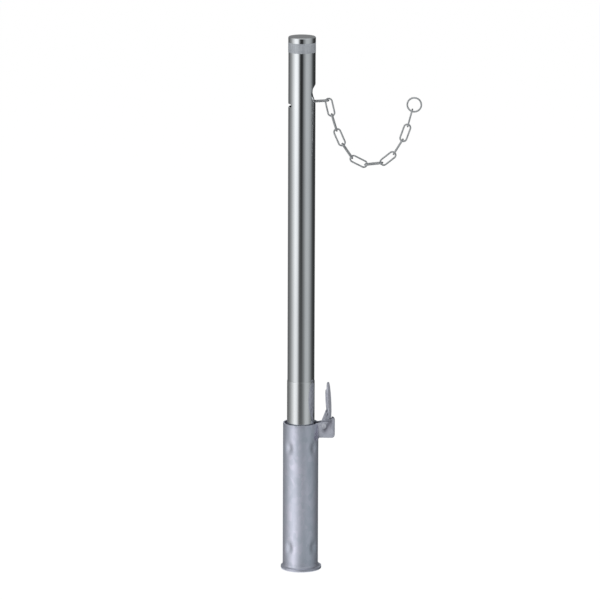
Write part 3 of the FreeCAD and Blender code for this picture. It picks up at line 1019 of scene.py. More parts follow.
    def paint_crease_shade(self, strip: bpy.types.Object) -> None:
        """Paints shade into the crease: keeps, for each point near the cheeks' outer faces, how deep in the crease
        it lies, which the strip's finish reads as painted shade.

        Args:
            strip: the pocket's strip.
        """
        spots = np.empty(len(strip.data.vertices) * 3, np.float32)
        strip.data.vertices.foreach_get("co", spots)
        points = spots.reshape(-1, 3) / MM
        outside = np.abs(points[:, 1]) > self.pocket_half - self.crease_shade_reach
        hollow = (self.creased(points) / self.crease_deep) * outside
        layer = strip.data.attributes.new(PAINTED_CREASE_SHADE, "FLOAT", "POINT")
        layer.data.foreach_set("value", hollow.astype(np.float32))

    def rivet(self) -> Skin:
        """The hinge rivet: a shank between two domed heads, turned about its own axis.

        Returns:
            The rivet.
        """
        ball = (self.pin_head_r ** 2 + self.pin_head_h ** 2) / (2 * self.pin_head_h)
        open_deg = math.degrees(math.asin(self.pin_head_r / ball))
        tip = self.pocket_half + self.pin_head_h
        dome = arc((0, tip - ball), ball, 90, 90 - open_deg, self.pin_head_steps)
        under = [(r, self.pocket_half) for r in (self.pin_head_r - self.pin_head_edge, self.pin_r)]
        upper = np.concatenate([dome, under])
        profile = np.concatenate([upper, (upper * (1, -1))[::-1]])
        return turned(profile, self.pin_columns, closed=False).moved(Z_TO_Y, (self.pin_x, 0, self.pin_z))

    def weld(self, side: int) -> Skin:
        """The weld between a cheek and the tube: a rippled bead that widens downwards, to below the pocket.

        Args:
            side: 1 for the cheek towards +Y, -1 for the other.

        Returns:
            The bead.
        """
        rows, sides = self.weld_grid
        steps = np.linspace(0, 1, rows)
        low, high = self.pocket_low - self.weld_drop, self.height - self.weld_top
        z = low + (high - low) * steps
        swell = np.clip(self.weld_taper[0] - self.weld_taper[1] * steps, 0, 1)
        seam = math.asin(self.pocket_half / self.radius)
        seam = seam + (self.weld_spread + rippled(z, self.seam_sway)) * swell
        path = raised(polar(self.radius, side * seam), z)
        path[:, 1] += rippled(z, self.weld_sway) * side
        radius = self.weld_r + self.weld_swell * swell + rippled(z, *self.weld_ripples)
        return swept_wire(path, ALONG_Y, radius * closing(2 * steps - 1), sides, closed=False)

    def under_weld(self) -> Skin:
        """The bead below the pocket, where its floor and cheeks meet the tube.

        Returns:
            The bead.
        """
        (rows, sides), (out, up) = self.under_weld_grid, self.under_weld_shift
        steps = np.linspace(-1, 1, rows)
        y = steps * (self.pocket_half + self.under_weld_past)
        path = raised(np.stack([np.sqrt(self.radius ** 2 - y ** 2) + out, y], axis=-1), self.pocket_low + up)
        radius = (self.under_weld_r + rippled(y, self.under_ripple)) * closing(steps)
        return swept_wire(path, ALONG_Z, radius, sides, closed=False)

    def build(self, bench: Bench, finish: Finishes) -> None:
        """Makes the socket's pieces and gives its inner nodes their finishes.

        Args:
            bench: makes the pieces.
            finish: the finishes.
        """
        body, zinc = Body.SOCKET.value, Slot.GALVANISED
        bench.piece("socket_wall", self.tube(), finish.zinc, body, ["socket_tube"])
        # the pocket strip's crease is darkened with painted shade
        self.paint_crease_shade(bench.piece("pocket_strip", self.pocket(), finish.pocket, body, ["lock_pocket"]))
        bench.piece("hinge_rivet", self.rivet(), finish.rivet, body, ["hinge_pin"])
        for name, side in (("pocket_weld_front", -1), ("pocket_weld_back", 1)):
            bench.piece(name, self.weld(side), finish.weld, body)
        bench.piece("pocket_weld_under", self.under_weld(), finish.weld, body)
        for node in ("base_plate", "pocket_floor"):
            bench.dress(node, finish.zinc)
        bench.dress("hinge_washers", finish.rivet)


@dataclass
class Lid:
    """The hinged lid: round plate, boss and arm, drawn upright over its hinge and then leaned."""

    hinge: tuple = (41.7, 0.0, 264.9)
    lean_deg: float = 4.2
    plate_r: float = 32.4
    plate_t: float = 3.0
    offset: float = 10.7
    centre_h: float = 45.2
    boss_r: float = 19.5
    boss_t: float = 3.4
    arm_half: float = 5.0
    eye_r: float = 7.0
    toe_h: float = 8.0
    web_foot_h: float = 9.8
    web_foot_out: float = 3.0
    web_top_h: float = 32.0
    plate_edge: float = 0.5
    boss_edge: float = 0.7
    arm_edge: float = 0.7
    arm_heart: tuple = (3.5, 9.0)
    arm_corners: tuple = (0, 2.0, 0.5, 0.3, 0.4, 0.3, 1.0, 2.5, 0)
    under_gap: float = 0.1
    eye_steps: int = 28
    disc_hold: float = 2.5
    disc_steps: int = 5
    disc_columns: int = 128

    def leaned(self, skin: Skin) -> Skin:
        """A skin drawn with the hinge at the origin, leaned and moved to its place."""
        return skin.moved(turn_about_y(-self.lean_deg), self.hinge)

    def disc(self, radius: float, inner_x: float, outer_x: float, edge: float) -> Skin:
        """A round disc across X with rounded rims, its middle at the plate's centre.

        Args:
            radius: the disc's radius.
            inner_x: its face towards the post.
            outer_x: its other face.
            edge: radius of its rims.

        Returns:
            The disc, leaned.
        """
        rim = rounded_outline([(0, inner_x), (radius, inner_x), (radius, outer_x), (0, outer_x)],
                              [0, edge, edge, 0], self.disc_steps)
        hold = radius - self.disc_hold * edge
        held = np.insert(rim, [1, len(rim) - 1], [(hold, inner_x), (hold, outer_x)], axis=0)
        disc = turned(held, self.disc_columns, closed=False)
        return self.leaned(disc.moved(Z_TO_X, (0, 0, self.centre_h)))

    def arm(self) -> Skin:
        """The arm: an eye round the rivet, a toe under the cover, and a web that tapers up to the boss.

        Returns:
            The arm, leaned.
        """
        outer, boss_face = self.offset + self.plate_t, self.offset - self.boss_t
        plate_low, boss_low = self.centre_h - self.plate_r - self.under_gap, self.centre_h - self.boss_r
        lower = arc((0, 0), self.eye_r, 180, 360, self.eye_steps)
        corners = [(outer, self.toe_h), (outer, plate_low), (self.offset, plate_low), (self.offset, boss_low),
                   (boss_face, boss_low), (boss_face, self.web_top_h), (-self.web_foot_out, self.web_foot_h)]
        upper = rounded_outline([lower[-1], *corners, lower[0]], self.arm_corners, EDGE_STEPS)
        outline = np.concatenate([lower, upper[1:-1]])
        return self.leaned(plate(outline, self.arm_half, self.arm_edge, self.arm_heart))

    def build(self, bench: Bench, finish: Finishes) -> None:
        """Makes the lid's pieces.

        Args:
            bench: makes the pieces.
            finish: the finishes.
        """
        face = self.offset
        cover = self.disc(self.plate_r, face, face + self.plate_t, self.plate_edge)
        boss = self.disc(self.boss_r, face - self.boss_t, face, self.boss_edge)
        for name, skin, node in (("lid_cover", cover, "lid_plate"), ("lid_inner_boss", boss, "lid_boss"),
                                 ("lid_hinge_arm", self.arm(), "lid_arm")):
            bench.piece(name, skin, finish.casting, Body.LID.value, [node])


@dataclass
class WallHole:
    """A hole cut level through one side of a round wall.

    Attributes:
        side: the angle of its middle, 0 towards +X.
        centre_z: its height.
        outline: closed outline about its middle, across and up, counterclockwise.
        columns: columns of the wall's grid that its patch takes to each side.
        low: the patch's lower edge, from the middle.
        high: the patch's upper edge, from the middle.
    """

    side: float
    centre_z: float
    outline: np.ndarray
    columns: int
    low: float
    high: float

    def matched(self, frame_points: np.ndarray) -> tuple:
        """For each point of a closed frame round the hole, a point of the outline and its outward normal.

        Both lines are split where they cross the axes of the hole; between two crossings, points are matched
        by their share of the length.

        Args:
            frame_points: the frame's points about the hole's middle.

        Returns:
            The outline's points, and the normals there.
        """
        place = self.track(frame_points)
        track = self.track(self.outline)
        order = np.argsort(track)
        ahead = np.roll(self.outline, -1, axis=0) - np.roll(self.outline, 1, axis=0)
        normal = np.stack([ahead[:, 1], -ahead[:, 0]], axis=-1)
        normal /= np.linalg.norm(normal, axis=1, keepdims=True)
        values = np.concatenate([self.outline, normal], axis=1)[order]
        found = np.stack([np.interp(place, track[order], column, period=4.0) for column in values.T], axis=-1)
        found[:, 2:] /= np.linalg.norm(found[:, 2:], axis=1, keepdims=True)
        return found[:, :2], found[:, 2:]

    @staticmethod
    def track(line: np.ndarray) -> np.ndarray:
        """A place from 0 to 4 along a closed line about the origin: one unit from axis crossing to crossing.

        Args:
            line: the line's points, counterclockwise.

        Returns:
            A place for each point.
        """
        angle = np.arctan2(line[:, 1], line[:, 0]) % FULL_TURN
        start = int(np.argmin(angle))
        rolled = np.roll(line, -start, axis=0)
        turned_angle = np.roll(angle, -start)
        length = np.concatenate([[0], np.cumsum(np.linalg.norm(np.diff(rolled, axis=0), axis=1))])
        total = length[-1] + np.linalg.norm(rolled[0] - rolled[-1])
        gap_back = angle[start] / (angle[start] + FULL_TURN - turned_angle[-1] + 1e-12)
        first = -gap_back * (total - length[-1])
        crossings = [first]
        for quarter in (1, 2, 3):
            crossings.append(float(np.interp(quarter * math.pi / 2, turned_angle, length)))
        crossings.append(first + total)
        return np.roll(np.interp(length, crossings, np.arange(5.0)), start)


@dataclass
class Post:
    """The polished post: tube with two openings, wear sleeve, cap, silver film and inner fittings."""

    radius: float = 24.3
    wall: float = 1.5
    foot_z: float = 3.0
    top_z: float = 968.0
    cap_top: float = 2.5
    cap_skirt: float = 10.0
    cap_wall: float = 0.3
    cap_edge: float = 2.0
    skin_gap: float = 0.05
    sleeve_t: float = 0.5
    sleeve_top: float = 347.0
    film_t: float = 0.2
    film_h: float = 17.5
    columns: int = 144
    outlet_z: float = 866.6
    outlet_r: float = 16.2
    notch_r: float = 9.5
    notch_drop: float = 8.9
    slot_z: float = 845.7
    slot_half: float = 16.75
    slot_high: float = 2.9
    hole_edge: float = 0.45
    outlet_middle: float = -3.0
    outlet_points: int = 720
    outlet_patch: tuple = (18, -22.0, 21.0)
    slot_patch: tuple = (22, -8.0, 8.0)
    slot_end_steps: int = 90
    slot_side_points: int = 140
    hole_layers: int = 6
    near_rows: float = 1.3
    far_rows: float = 24.0
    cap_rims: tuple = (0.15, 0.1)
    cap_steps: int = 7
    cap_hold: float = 1.6
    sleeve_edge: float = 0.2
    film_edge: float = 0.12

    def outlet(self) -> WallHole:
        """The chain's outlet: a round hole that runs down into a narrower notch.

        From a middle that both circles and the neck between them hold, each direction's reach is the longest
        of the three shapes' reaches.

        Returns:
            The hole.
        """
        middle = self.outlet_middle
        ray = polar(1.0, np.arange(self.outlet_points) * FULL_TURN / self.outlet_points)
        reaches = []
        for centre, radius in ((-middle, self.outlet_r), (-self.notch_drop - middle, self.notch_r)):
            along = ray[:, 1] * centre
            reaches.append(along + np.sqrt(along ** 2 + radius ** 2 - centre ** 2))
        level, upright = np.maximum(np.abs(ray), NEVER_ZERO).T
        neck_h = np.where(ray[:, 1] > 0, -middle, self.notch_drop + middle)
        reaches.append(np.minimum(self.notch_r / level, neck_h / upright))
        outline = ray * np.max(reaches, axis=0)[:, None]
        return WallHole(0.0, self.outlet_z + middle, outline, *self.outlet_patch)

    def ring_slot(self) -> WallHole:
        """The level slot with round ends for the next post's ring.

        Returns:
            The hole.
        """
        straight = self.slot_half - self.slot_high
        right = arc((straight, 0), self.slot_high, -90, 90, self.slot_end_steps)
        left = arc((-straight, 0), self.slot_high, 90, 270, self.slot_end_steps)
        gaps = np.linspace(-straight, straight, self.slot_side_points)[1:-1]
        low = np.stack([gaps, np.full_like(gaps, -self.slot_high)], axis=-1)
        high = np.stack([gaps[::-1], np.full_like(gaps, self.slot_high)], axis=-1)
        outline = np.concatenate([right, high, left, low])
        return WallHole(math.pi, self.slot_z, outline, *self.slot_patch)

    def hole_rim(self, hole: WallHole, angles: np.ndarray, heights: np.ndarray) -> Skin:
        """The wall round one hole: outside, rounded edge, cut face, rounded edge and inside, ring by ring.

        A ring's points lie at x = sqrt(R squared - y squared) less their depth, so the cut runs level.

        Args:
            hole: the hole.
            angles: the angles of the patch's columns, from the hole's middle.
            heights: the heights of its rows.

        Returns:
            The patch.
        """
        outer, inner, edge = self.radius, self.radius - self.wall, self.hole_edge
        up = heights - hole.centre_z
        frame_points = np.concatenate([
            np.stack([angles[:-1], np.full(len(angles) - 1, up[0])], axis=-1),
            np.stack([np.full(len(up) - 1, angles[-1]), up[:-1]], axis=-1),
            np.stack([angles[:0:-1], np.full(len(angles) - 1, up[-1])], axis=-1),
            np.stack([np.full(len(up) - 1, angles[0]), up[:0:-1]], axis=-1)])
        spot, normal = hole.matched(frame_points * (outer, 1.0))
        layers = np.linspace(0, 1, self.hole_layers)[:, None, None]

        def skin_rings(radius: float) -> np.ndarray:
            """Rings from the frame in to the hole's rounded edge.

            Args:
                radius: the face's radius.

            Returns:
                The rings' points.
            """
            wide = spot + normal * edge
            ends = np.stack([np.arcsin(wide[:, 0] / radius), wide[:, 1]], axis=-1)
            mixed = frame_points + layers * (ends - frame_points)
            return raised(polar(radius, mixed[..., 0]), mixed[..., 1])

        def edge_rings(radius: float, sign: float) -> np.ndarray:
            """Rings over the hole's rounded edge.

            Args:
                radius: the face's radius.
                sign: -1 where the edge turns inwards, 1 where it turns outwards.

            Returns:
                The rings' points.
            """
            bend = np.linspace(0, math.pi / 2, EDGE_STEPS + 1)[1:, None]
            y = spot[:, 0] + normal[:, 0] * edge * (1 - np.sin(bend))
            z = spot[:, 1] + normal[:, 1] * edge * (1 - np.sin(bend))
            x = np.sqrt(radius ** 2 - y ** 2) + sign * edge * (1 - np.cos(bend))
            return np.stack([x, y, z], axis=-1)

        rings = np.concatenate([skin_rings(outer), edge_rings(outer, -1), edge_rings(inner, 1)[::-1],
                                skin_rings(inner)[::-1]])
        rings[..., 2] += hole.centre_z
        c, s = math.cos(hole.side), math.sin(hole.side)
        return Skin.of_grid(rings, wrap_columns=True).moved([[c, -s, 0], [s, c, 0], [0, 0, 1]])

    def tube(self) -> Skin:
        """The tube as a grid of heights and angles, outside and inside, with a patch left out at each hole.

        Returns:
            The tube.
        """
        holes = [self.outlet(), self.ring_slot()]
        top = self.top_z - self.cap_top
        patch_ends = [hole.centre_z + end for hole in holes for end in (hole.low, hole.high)]
        breaks = sorted({self.foot_z, top, *patch_ends})
        rows = []
        for low, high in zip(breaks[:-1], breaks[1:]):
            step = self.near_rows if breaks[1] <= low < breaks[-2] else self.far_rows
            rows.append(np.linspace(low, high, max(int((high - low) / step), 1) + 1)[:-1])
        rows = np.concatenate([*rows, [top]])
        angle = np.arange(self.columns) * FULL_TURN / self.columns
        rims = []
        heights = np.concatenate([rows, rows[::-1]])
        radius = np.repeat([self.radius, self.radius - self.wall], len(rows))[:, None]
        points = raised(polar(radius, angle), heights[:, None])
        keep = np.ones((len(heights), self.columns), bool)
        for hole in holes:
            middle = round(hole.side / FULL_TURN * self.columns)
            patch = np.arange(middle - hole.columns, middle + hole.columns)
            low = int(np.argmin(np.abs(rows - hole.centre_z - hole.low)))
            high = int(np.argmin(np.abs(rows - hole.centre_z - hole.high)))
            keep[np.ix_(np.arange(low, high), patch % self.columns)] = False
            last = len(heights) - 1
            keep[np.ix_(np.arange(last - high, last - low), patch % self.columns)] = False
            step = FULL_TURN / self.columns
            local = np.arange(-hole.columns, hole.columns + 1) * step
            rims.append(self.hole_rim(hole, local, rows[low:high + 1]))
        return Skin.of_grid(points, wrap_rows=True, wrap_columns=True, keep=keep).joined(*rims)

    def cap(self) -> Skin:
        """The cap: a disc with a rounded edge and a short skirt, open and empty below.

        Returns:
            The cap.
        """
        outer, low = self.radius + self.cap_wall, self.top_z - self.cap_skirt
        inside, under = self.radius + self.skin_gap, self.top_z - self.cap_top
        profile = rounded_outline(
            [(0, self.top_z), (outer, self.top_z), (outer, low), (inside, low), (inside, under), (0, under)],
            [0, self.cap_edge, *self.cap_rims, 0, 0], self.cap_steps)
        held = np.insert(profile, 1, (outer - self.cap_hold * self.cap_edge, self.top_z), axis=0)
        return turned(held, self.columns, closed=False)

    def build(self, bench: Bench, finish: Finishes) -> None:
        """Makes the post's pieces and gives its inner nodes their finishes.

        Args:
            bench: makes the pieces.
            finish: the finishes.
        """
        skin_r, high = self.radius + self.skin_gap, self.top_z - self.cap_skirt
        sleeve = ring_tube(skin_r + self.sleeve_t, skin_r, self.foot_z, self.sleeve_top, self.sleeve_edge)
        film = ring_tube(skin_r + self.film_t, skin_r, high - self.film_h, high, self.film_edge)
        for name, skin, material, slot, node in (
                ("post_wall", self.tube(), finish.mirror, Slot.MIRROR, "post_tube"),
                ("post_wear_sleeve", sleeve, finish.satin, Slot.SATIN, "wear_sleeve"),
                ("post_cap", self.cap(), finish.mirror, Slot.MIRROR, "top_cap"),
                ("post_silver_film", film, finish.film, Slot.BAND, "reflective_band")):
            bench.piece(name, skin, material, Body.POST.value, [node])
        for node in ("bottom_cap", "guide_lug"):
            bench.dress(node, finish.satin)
        bench.dress("stop_bar", finish.chain)


@dataclass
class Chain:
    """The chain: round-wire links, each turned a quarter turn from the last, and the ring on its end."""

    wire_r: float = 1.5
    bow_r: float = 5.8
    length: float = 31.6
    seat: float = 3.4
    ring_r: float = 12.4
    first_fall_deg: float = -4.0
    stored_links: int = 25
    stored_lean_deg: float = 35.0
    weld_rise: float = 0.07
    weld_half: float = 1.1
    ring_weld_rise: float = 0.042
    ring_weld_angle: float = 0.6 * math.pi
    ring_steps: int = 112
    bow_steps: int = 28
    wire_sides: int = 22
    stored_bow_steps: int = 12
    stored_sides: int = 10
    pivots: np.ndarray = field(default_factory=lambda: np.array(
        [joint["pos_m"] for joint in frame["joints"] if joint["name"].endswith("_swing")]) / MM)
    ring_centre: np.ndarray = field(default_factory=lambda: np.array(
        [mount["pos_m"] for mount in frame["record"]["mounts"] if mount["name"] == "chain_ring"][0]) / MM)

    def link(self, stand: LinkStand, along: int, sides: int) -> Skin:
        """A link along +X from the origin: round wire carried round two legs and two half circles.

        Args:
            stand: upright in XZ or flat in XY.
            along: steps along each bow; each leg takes half as many.
            sides: points round the wire.

        Returns:
            The skin.
        """
        far = self.length - self.bow_r
        leg = np.linspace(0, 1, along // 2 + 1)[1:-1]
        reach = far - self.bow_r
        low = np.stack([self.bow_r + reach * leg, np.full_like(leg, -self.bow_r)], axis=-1)
        high = np.stack([far - reach * leg, np.full_like(leg, self.bow_r)], axis=-1)
        line = np.concatenate([arc((self.bow_r, 0), self.bow_r, 90, 270, along), low,
                               arc((far, 0), self.bow_r, -90, 90, along), high])
        path = np.insert(line, 1, 0.0, axis=-1)
        seam = np.exp(-((line[:, 0] - self.length / 2) / self.weld_half) ** 2) * (line[:, 1] > 0)
        skin = swept_wire(path, ALONG_Y, self.wire_r * (1 + self.weld_rise * seam), sides, closed=True)
        return skin.moved(Y_TO_Z) if stand is LinkStand.FLAT else skin

    @staticmethod
    def placed(skin: Skin, start: np.ndarray, heading: np.ndarray) -> Skin:
        """A link drawn along +X, turned in XZ to a heading and moved to its start."""
        x, z = heading[0], heading[2]
        return skin.moved([[x, 0, -z], [0, 1, 0], [z, 0, x]], start)

    @staticmethod
    def heading(fall_deg: float) -> np.ndarray:
        """The unit direction that falls so many degrees below level."""
        return np.array([math.cos(math.radians(fall_deg)), 0, -math.sin(math.radians(fall_deg))])

    def stored(self) -> Skin:
        """The chain that hangs inside the post, link by link from the outlet down.

        Returns:
            Its links as one skin.
        """
        pivot = self.pivots[0] - self.heading(self.first_fall_deg) * self.length
        links = {stand: self.link(stand, self.stored_bow_steps, self.stored_sides) for stand in LinkStand}
        skins = []
        for number in range(self.stored_links):
            down = self.heading(90.0 + (self.stored_lean_deg if number == 0 else 0.0))
            if number % 2 == 0:
                skins.append(self.placed(links[LinkStand.UPRIGHT], pivot - down * self.seat, down))
                pivot = pivot + down * (self.length - 2 * self.seat)
            else:
                skins.append(self.placed(links[LinkStand.FLAT], pivot, down))
                pivot = pivot + down * self.length
        return skins[0].joined(*skins[1:])

    def ring(self) -> Skin:
        """The end ring: round wire round a circle, with its weld at the side away from the chain.

        Returns:
            The ring.
        """
        angle = np.arange(self.ring_steps) * FULL_TURN / self.ring_steps
        path = np.insert(polar(self.ring_r, angle), 1, 0.0, axis=-1)
        seam = np.exp(-((angle - self.ring_weld_angle) * self.ring_r / self.weld_half) ** 2)
        radius = self.wire_r * (1 + self.ring_weld_rise * seam)
        ring = swept_wire(path, ALONG_Y, radius, self.wire_sides, closed=True)
        return ring.moved(np.eye(3), self.ring_centre)

    def build(self, bench: Bench, finish: Finishes) -> None:
        """Makes the hanging links, the ring and the stored chain.

        Args:
            bench: makes the pieces.
            finish: the finishes.
        """
        links = {stand: self.link(stand, self.bow_steps, self.wire_sides) for stand in LinkStand}
        pivots = self.pivots
        start = pivots[0] - self.heading(self.first_fall_deg) * self.length
        first = self.placed(links[LinkStand.FLAT], start, self.heading(self.first_fall_deg))
        post, ring, slot = Body.POST.value, Body.RING.value, Slot.CHAIN
        bench.piece("link_in_notch", first, finish.chain, post, ["chain_link_00"])
        for number in range(1, len(pivots)):
            ahead = pivots[number] - pivots[number - 1]
            ahead = ahead / np.linalg.norm(ahead)
            upright = number % 2 == 1
            stand = LinkStand.UPRIGHT if upright else LinkStand.FLAT
            begin = pivots[number - 1] - ahead * self.seat * upright
            bench.piece(f"hanging_link_{number:02d}", self.placed(links[stand], begin, ahead), finish.chain,
                        f"link_{number:02d}", [f"chain_link_{number:02d}"])
        bench.piece("chain_end_ring", self.ring(), finish.chain, ring, ["end_ring"])
        bench.piece("chain_in_post", self.stored(), finish.chain, post, ["stored_chain"])


# ---- studio


@dataclass(frozen=True)
class Lamp:
    """A square soft light, placed by its direction and distance from the object's middle."""

    name: str
    azimuth_deg: float
    elevation_deg: float
    distance: float
    size: float
    watts: float


def towards(azimuth_deg: float, elevation_deg: float) -> Vector:
    """The unit direction at an azimuth, from -Y towards +X, and an elevation."""
    a, e = math.radians(azimuth_deg), math.radians(elevation_deg)
    return Vector((math.sin(a) * math.cos(e), -math.cos(a) * math.cos(e), math.sin(e)))


def ramp(place: np.ndarray, start: float, length: float) -> np.ndarray:
    """0 before a start, 1 past a length, and a straight climb between them."""
    return np.clip((place - start) / length, 0, 1)


@dataclass
class Studio:
    """Floor, light, reflection screen and camera.

    The screen is a tall round wall of light and dark panels that only mirrors see, as a photographer sets them
    round polished steel. Angles are counted from the camera's side, left as negative.
    """

    azimuth_deg: float = 4.0
    elevation_deg: float = 12.0
    distance: float = 9.0
    focal_px: float = 5049.0
    image_px: float = 600.0
    sensor_mm: float = 36.0
    aim_z: float = 0.4929
    aim_side: float = -0.0021
    roll_deg: float = 0.2
    screen_r: float = 0.3
    mat_rows: tuple = ((0.0385, 0.07, 8), (0.08, 0.3, 20))
    wall_rows: tuple = ((0.0006, 1.0, 101), (1.04, 2.2, 30))
    floor_half: float = 40.0
    glow_angles: tuple = (-180, -168, -152, -138, -123, -94, -71, -51, -33, -15, 2, 19.6, 37, 56, 76.6, 100, 123,
                          140, 155, 168, 180)
    glow_foot: tuple = (.60, .50, .20, .18, .22, .38, .86, 1.40, 1.20, .68, .34, .34, .46, .50, .37, .14, .05,
                        .08, .12, .50, .60)
    glow_low: tuple = (.85, .80, .18, .15, .15, .30, .62, .98, .85, .14, .10, .24, .52, .55, .31, .085, .04,
                       .05, .12, .70, .85)
    glow_high: tuple = (.85, .80, .18, .15, .17, .40, .82, 1.25, 1.1, .08, .01, .32, .57, .55, .40, .08, .03,
                        .05, .12, .70, .85)
    tint_angles: tuple = (-180, -100, -40, -5, 25, 110, 180)
    tints: tuple = ((.97, .985, 1.0), (.96, .985, .985), (.965, .985, 1.0), (.94, .98, 1.0), (.94, .98, 1.0),
                    (.93, .98, 1.0), (.97, .985, 1.0))
    foot_tints: tuple = ((.97, .985, 1.0), (.97, .985, .99), (.98, .98, 1.0), (.94, .98, 1.0), (.90, .975, 1.0),
                         (.84, .96, 1.0), (.97, .985, 1.0))
    mirror_r: float = 0.032
    crown_glow: float = 0.24
    sky_glow: float = 0.8
    foot_shade: float = 0.5
    foot_ramp: tuple = (0.18, 0.06)
    climb_ramp: tuple = (0.25, 0.55)
    crown_ramp: tuple = (0.975, 0.02)
    sky_ramp: tuple = (1.02, 0.4)
    behind_deg: float = 112.0
    shade_reach: tuple = (0.052, 0.068)
    blur: tuple = (1, 4, 6, 4, 1)
    screen_columns: int = 360
    soft_light: float = 0.42
    floor_grey: float = 0.82
    floor_rough: float = 0.9
    floor_glow: float = 1.07
    floor_share: float = 0.9
    lamp_aim_z: float = 0.45
    lamps: tuple = (Lamp("main_light", -38, 34, 3.2, 1.8, 62), Lamp("fill_light", 75, 20, 3.6, 2.2, 54))

    def camera(self) -> None:
        """The camera at the photograph's viewing angle."""
        data = bpy.data.cameras.new("camera")
        data.sensor_width = self.sensor_mm
        data.lens = self.focal_px * self.sensor_mm / self.image_px
        data.clip_start, data.clip_end = 0.1, 100.0
        back = towards(self.azimuth_deg, self.elevation_deg)
        camera = bpy.data.objects.new("camera", data)
        a = math.radians(self.azimuth_deg)
        aim = Vector((0, 0, self.aim_z)) + Vector((math.cos(a), math.sin(a), 0)) * self.aim_side
        camera.location = aim + back * self.distance
        camera.rotation_mode = "QUATERNION"
        roll = Quaternion(back, math.radians(self.roll_deg))
        camera.rotation_quaternion = roll @ (-back).to_track_quat("-Z", "Y")
        bpy.context.scene.collection.objects.link(camera)
        bpy.context.scene.camera = camera

    @staticmethod
    def seen_by_eye_or_mirror(tree: bpy.types.NodeTree) -> bpy.types.NodeSocket:
        """Tells the rays of the eye, of mirrors and of glass from the rest.

        Args:
            tree: the nodes that it is added to.

        Returns:
            1 for those rays, 0 for the rest.
        """
        path = tree.nodes.new("ShaderNodeLightPath")
        total = path.outputs["Is Camera Ray"]
        for name in ("Is Glossy Ray", "Is Transmission Ray"):
            add = tree.nodes.new("ShaderNodeMath")
            add.operation = "MAXIMUM"
            tree.links.new(total, add.inputs[0])
            tree.links.new(path.outputs[name], add.inputs[1])
            total = add.outputs[0]
        return total

    def world(self) -> None:
        """A white world for the eye and for mirrors, and an even soft light for the rest."""
        world = bpy.data.worlds.new("studio")
        bpy.context.scene.world = world
        world.use_nodes = True
        tree = world.node_tree
        background = tree.nodes["Background"]
        background.inputs["Color"].default_value = (1, 1, 1, 1)
        level = tree.nodes.new("ShaderNodeMapRange")
        tree.links.new(self.seen_by_eye_or_mirror(tree), level.inputs["Value"])
        level.inputs["To Min"].default_value = self.soft_light
        level.inputs["To Max"].default_value = 1.0
        tree.links.new(level.outputs["Result"], background.inputs["Strength"])

    def floor(self) -> None:
        """A pale floor that is white to the eye, keeps a faint shadow, and is clear from below."""
        half = self.floor_half
        mesh = bpy.data.meshes.new("studio_floor")
        mesh.from_pydata([(-half, -half, 0), (half, -half, 0), (half, half, 0), (-half, half, 0)], [],
                         [(0, 1, 2, 3)])
        recipe = Recipe("pale_floor")
        recipe.surface(Base_Color=(*[self.floor_grey] * 3, 1), Roughness=self.floor_rough,
                       Specular_IOR_Level=0.0)
        glow = recipe.node("ShaderNodeEmission", Color=(1, 1, 1, 1), Strength=self.floor_glow)
        share = recipe.maths("MULTIPLY", self.seen_by_eye_or_mirror(recipe.tree), self.floor_share)
        above = recipe.mixed(share, recipe.shader.outputs[0], glow.outputs[0])
        below = recipe.node("ShaderNodeNewGeometry").outputs["Backfacing"]
        clear = recipe.node("ShaderNodeBsdfTransparent").outputs[0]
        recipe.feed(recipe.tree.nodes["Material Output"].inputs["Surface"], recipe.mixed(below, above, clear))
        mesh.materials.append(recipe.material)
        floor = bpy.data.objects.new("studio_floor", mesh)
        bpy.context.scene.collection.objects.link(floor)

    def screen_glow(self, angle: np.ndarray, height: np.ndarray) -> np.ndarray:
        """The wall's glow: the foot's table low down, then the low and the high one, and a plain crown.

        Args:
            angle: the columns' angles in degrees.
            height: the rows' heights.

        Returns:
            The glow, row by row.
        """
        foot, low, high = (np.interp(angle, self.glow_angles, table)
                           for table in (self.glow_foot, self.glow_low, self.glow_high))
        rise, climb, crown, sky = (ramp(height, *band)[:, None]
                                   for band in (self.foot_ramp, self.climb_ramp, self.crown_ramp, self.sky_ramp))
        behind = np.abs(angle) > self.behind_deg
        crown, sky = crown * behind, sky * ~behind
        glow = foot + rise * (low - foot) + climb * (high - low)
        return glow + crown * (self.crown_glow - glow) + sky * (self.sky_glow - glow)

    def mat_glow(self, angle: np.ndarray, reach: np.ndarray) -> np.ndarray:
        """The mat's glow, so that its mirror image in the socket carries the wall's stripes on down.

        A ray that meets a cylinder of radius R at the angle a leaves at 2 a, and meets a circle of radius r
        at 2 a - arcsin(R sin a / r). The glow there is the wall's own for the same a, and less near the foot.

        Args:
            angle: the columns' angles in degrees.
            reach: the rows' distances from the axis.

        Returns:
            The glow, row by row.
        """
        turn = np.linspace(-90, 90, 361)
        sine = self.mirror_r * np.sin(np.radians(turn))
        wall_angle = 2 * turn - np.degrees(np.arcsin(sine / self.screen_r))
        wall = np.interp(wall_angle, self.glow_angles, self.glow_foot)
        rows = np.stack([np.interp(angle, 2 * turn - np.degrees(np.arcsin(sine / r)), wall) for r in reach])
        return rows * np.interp(reach, self.shade_reach, [self.foot_shade, 1.0])[:, None]

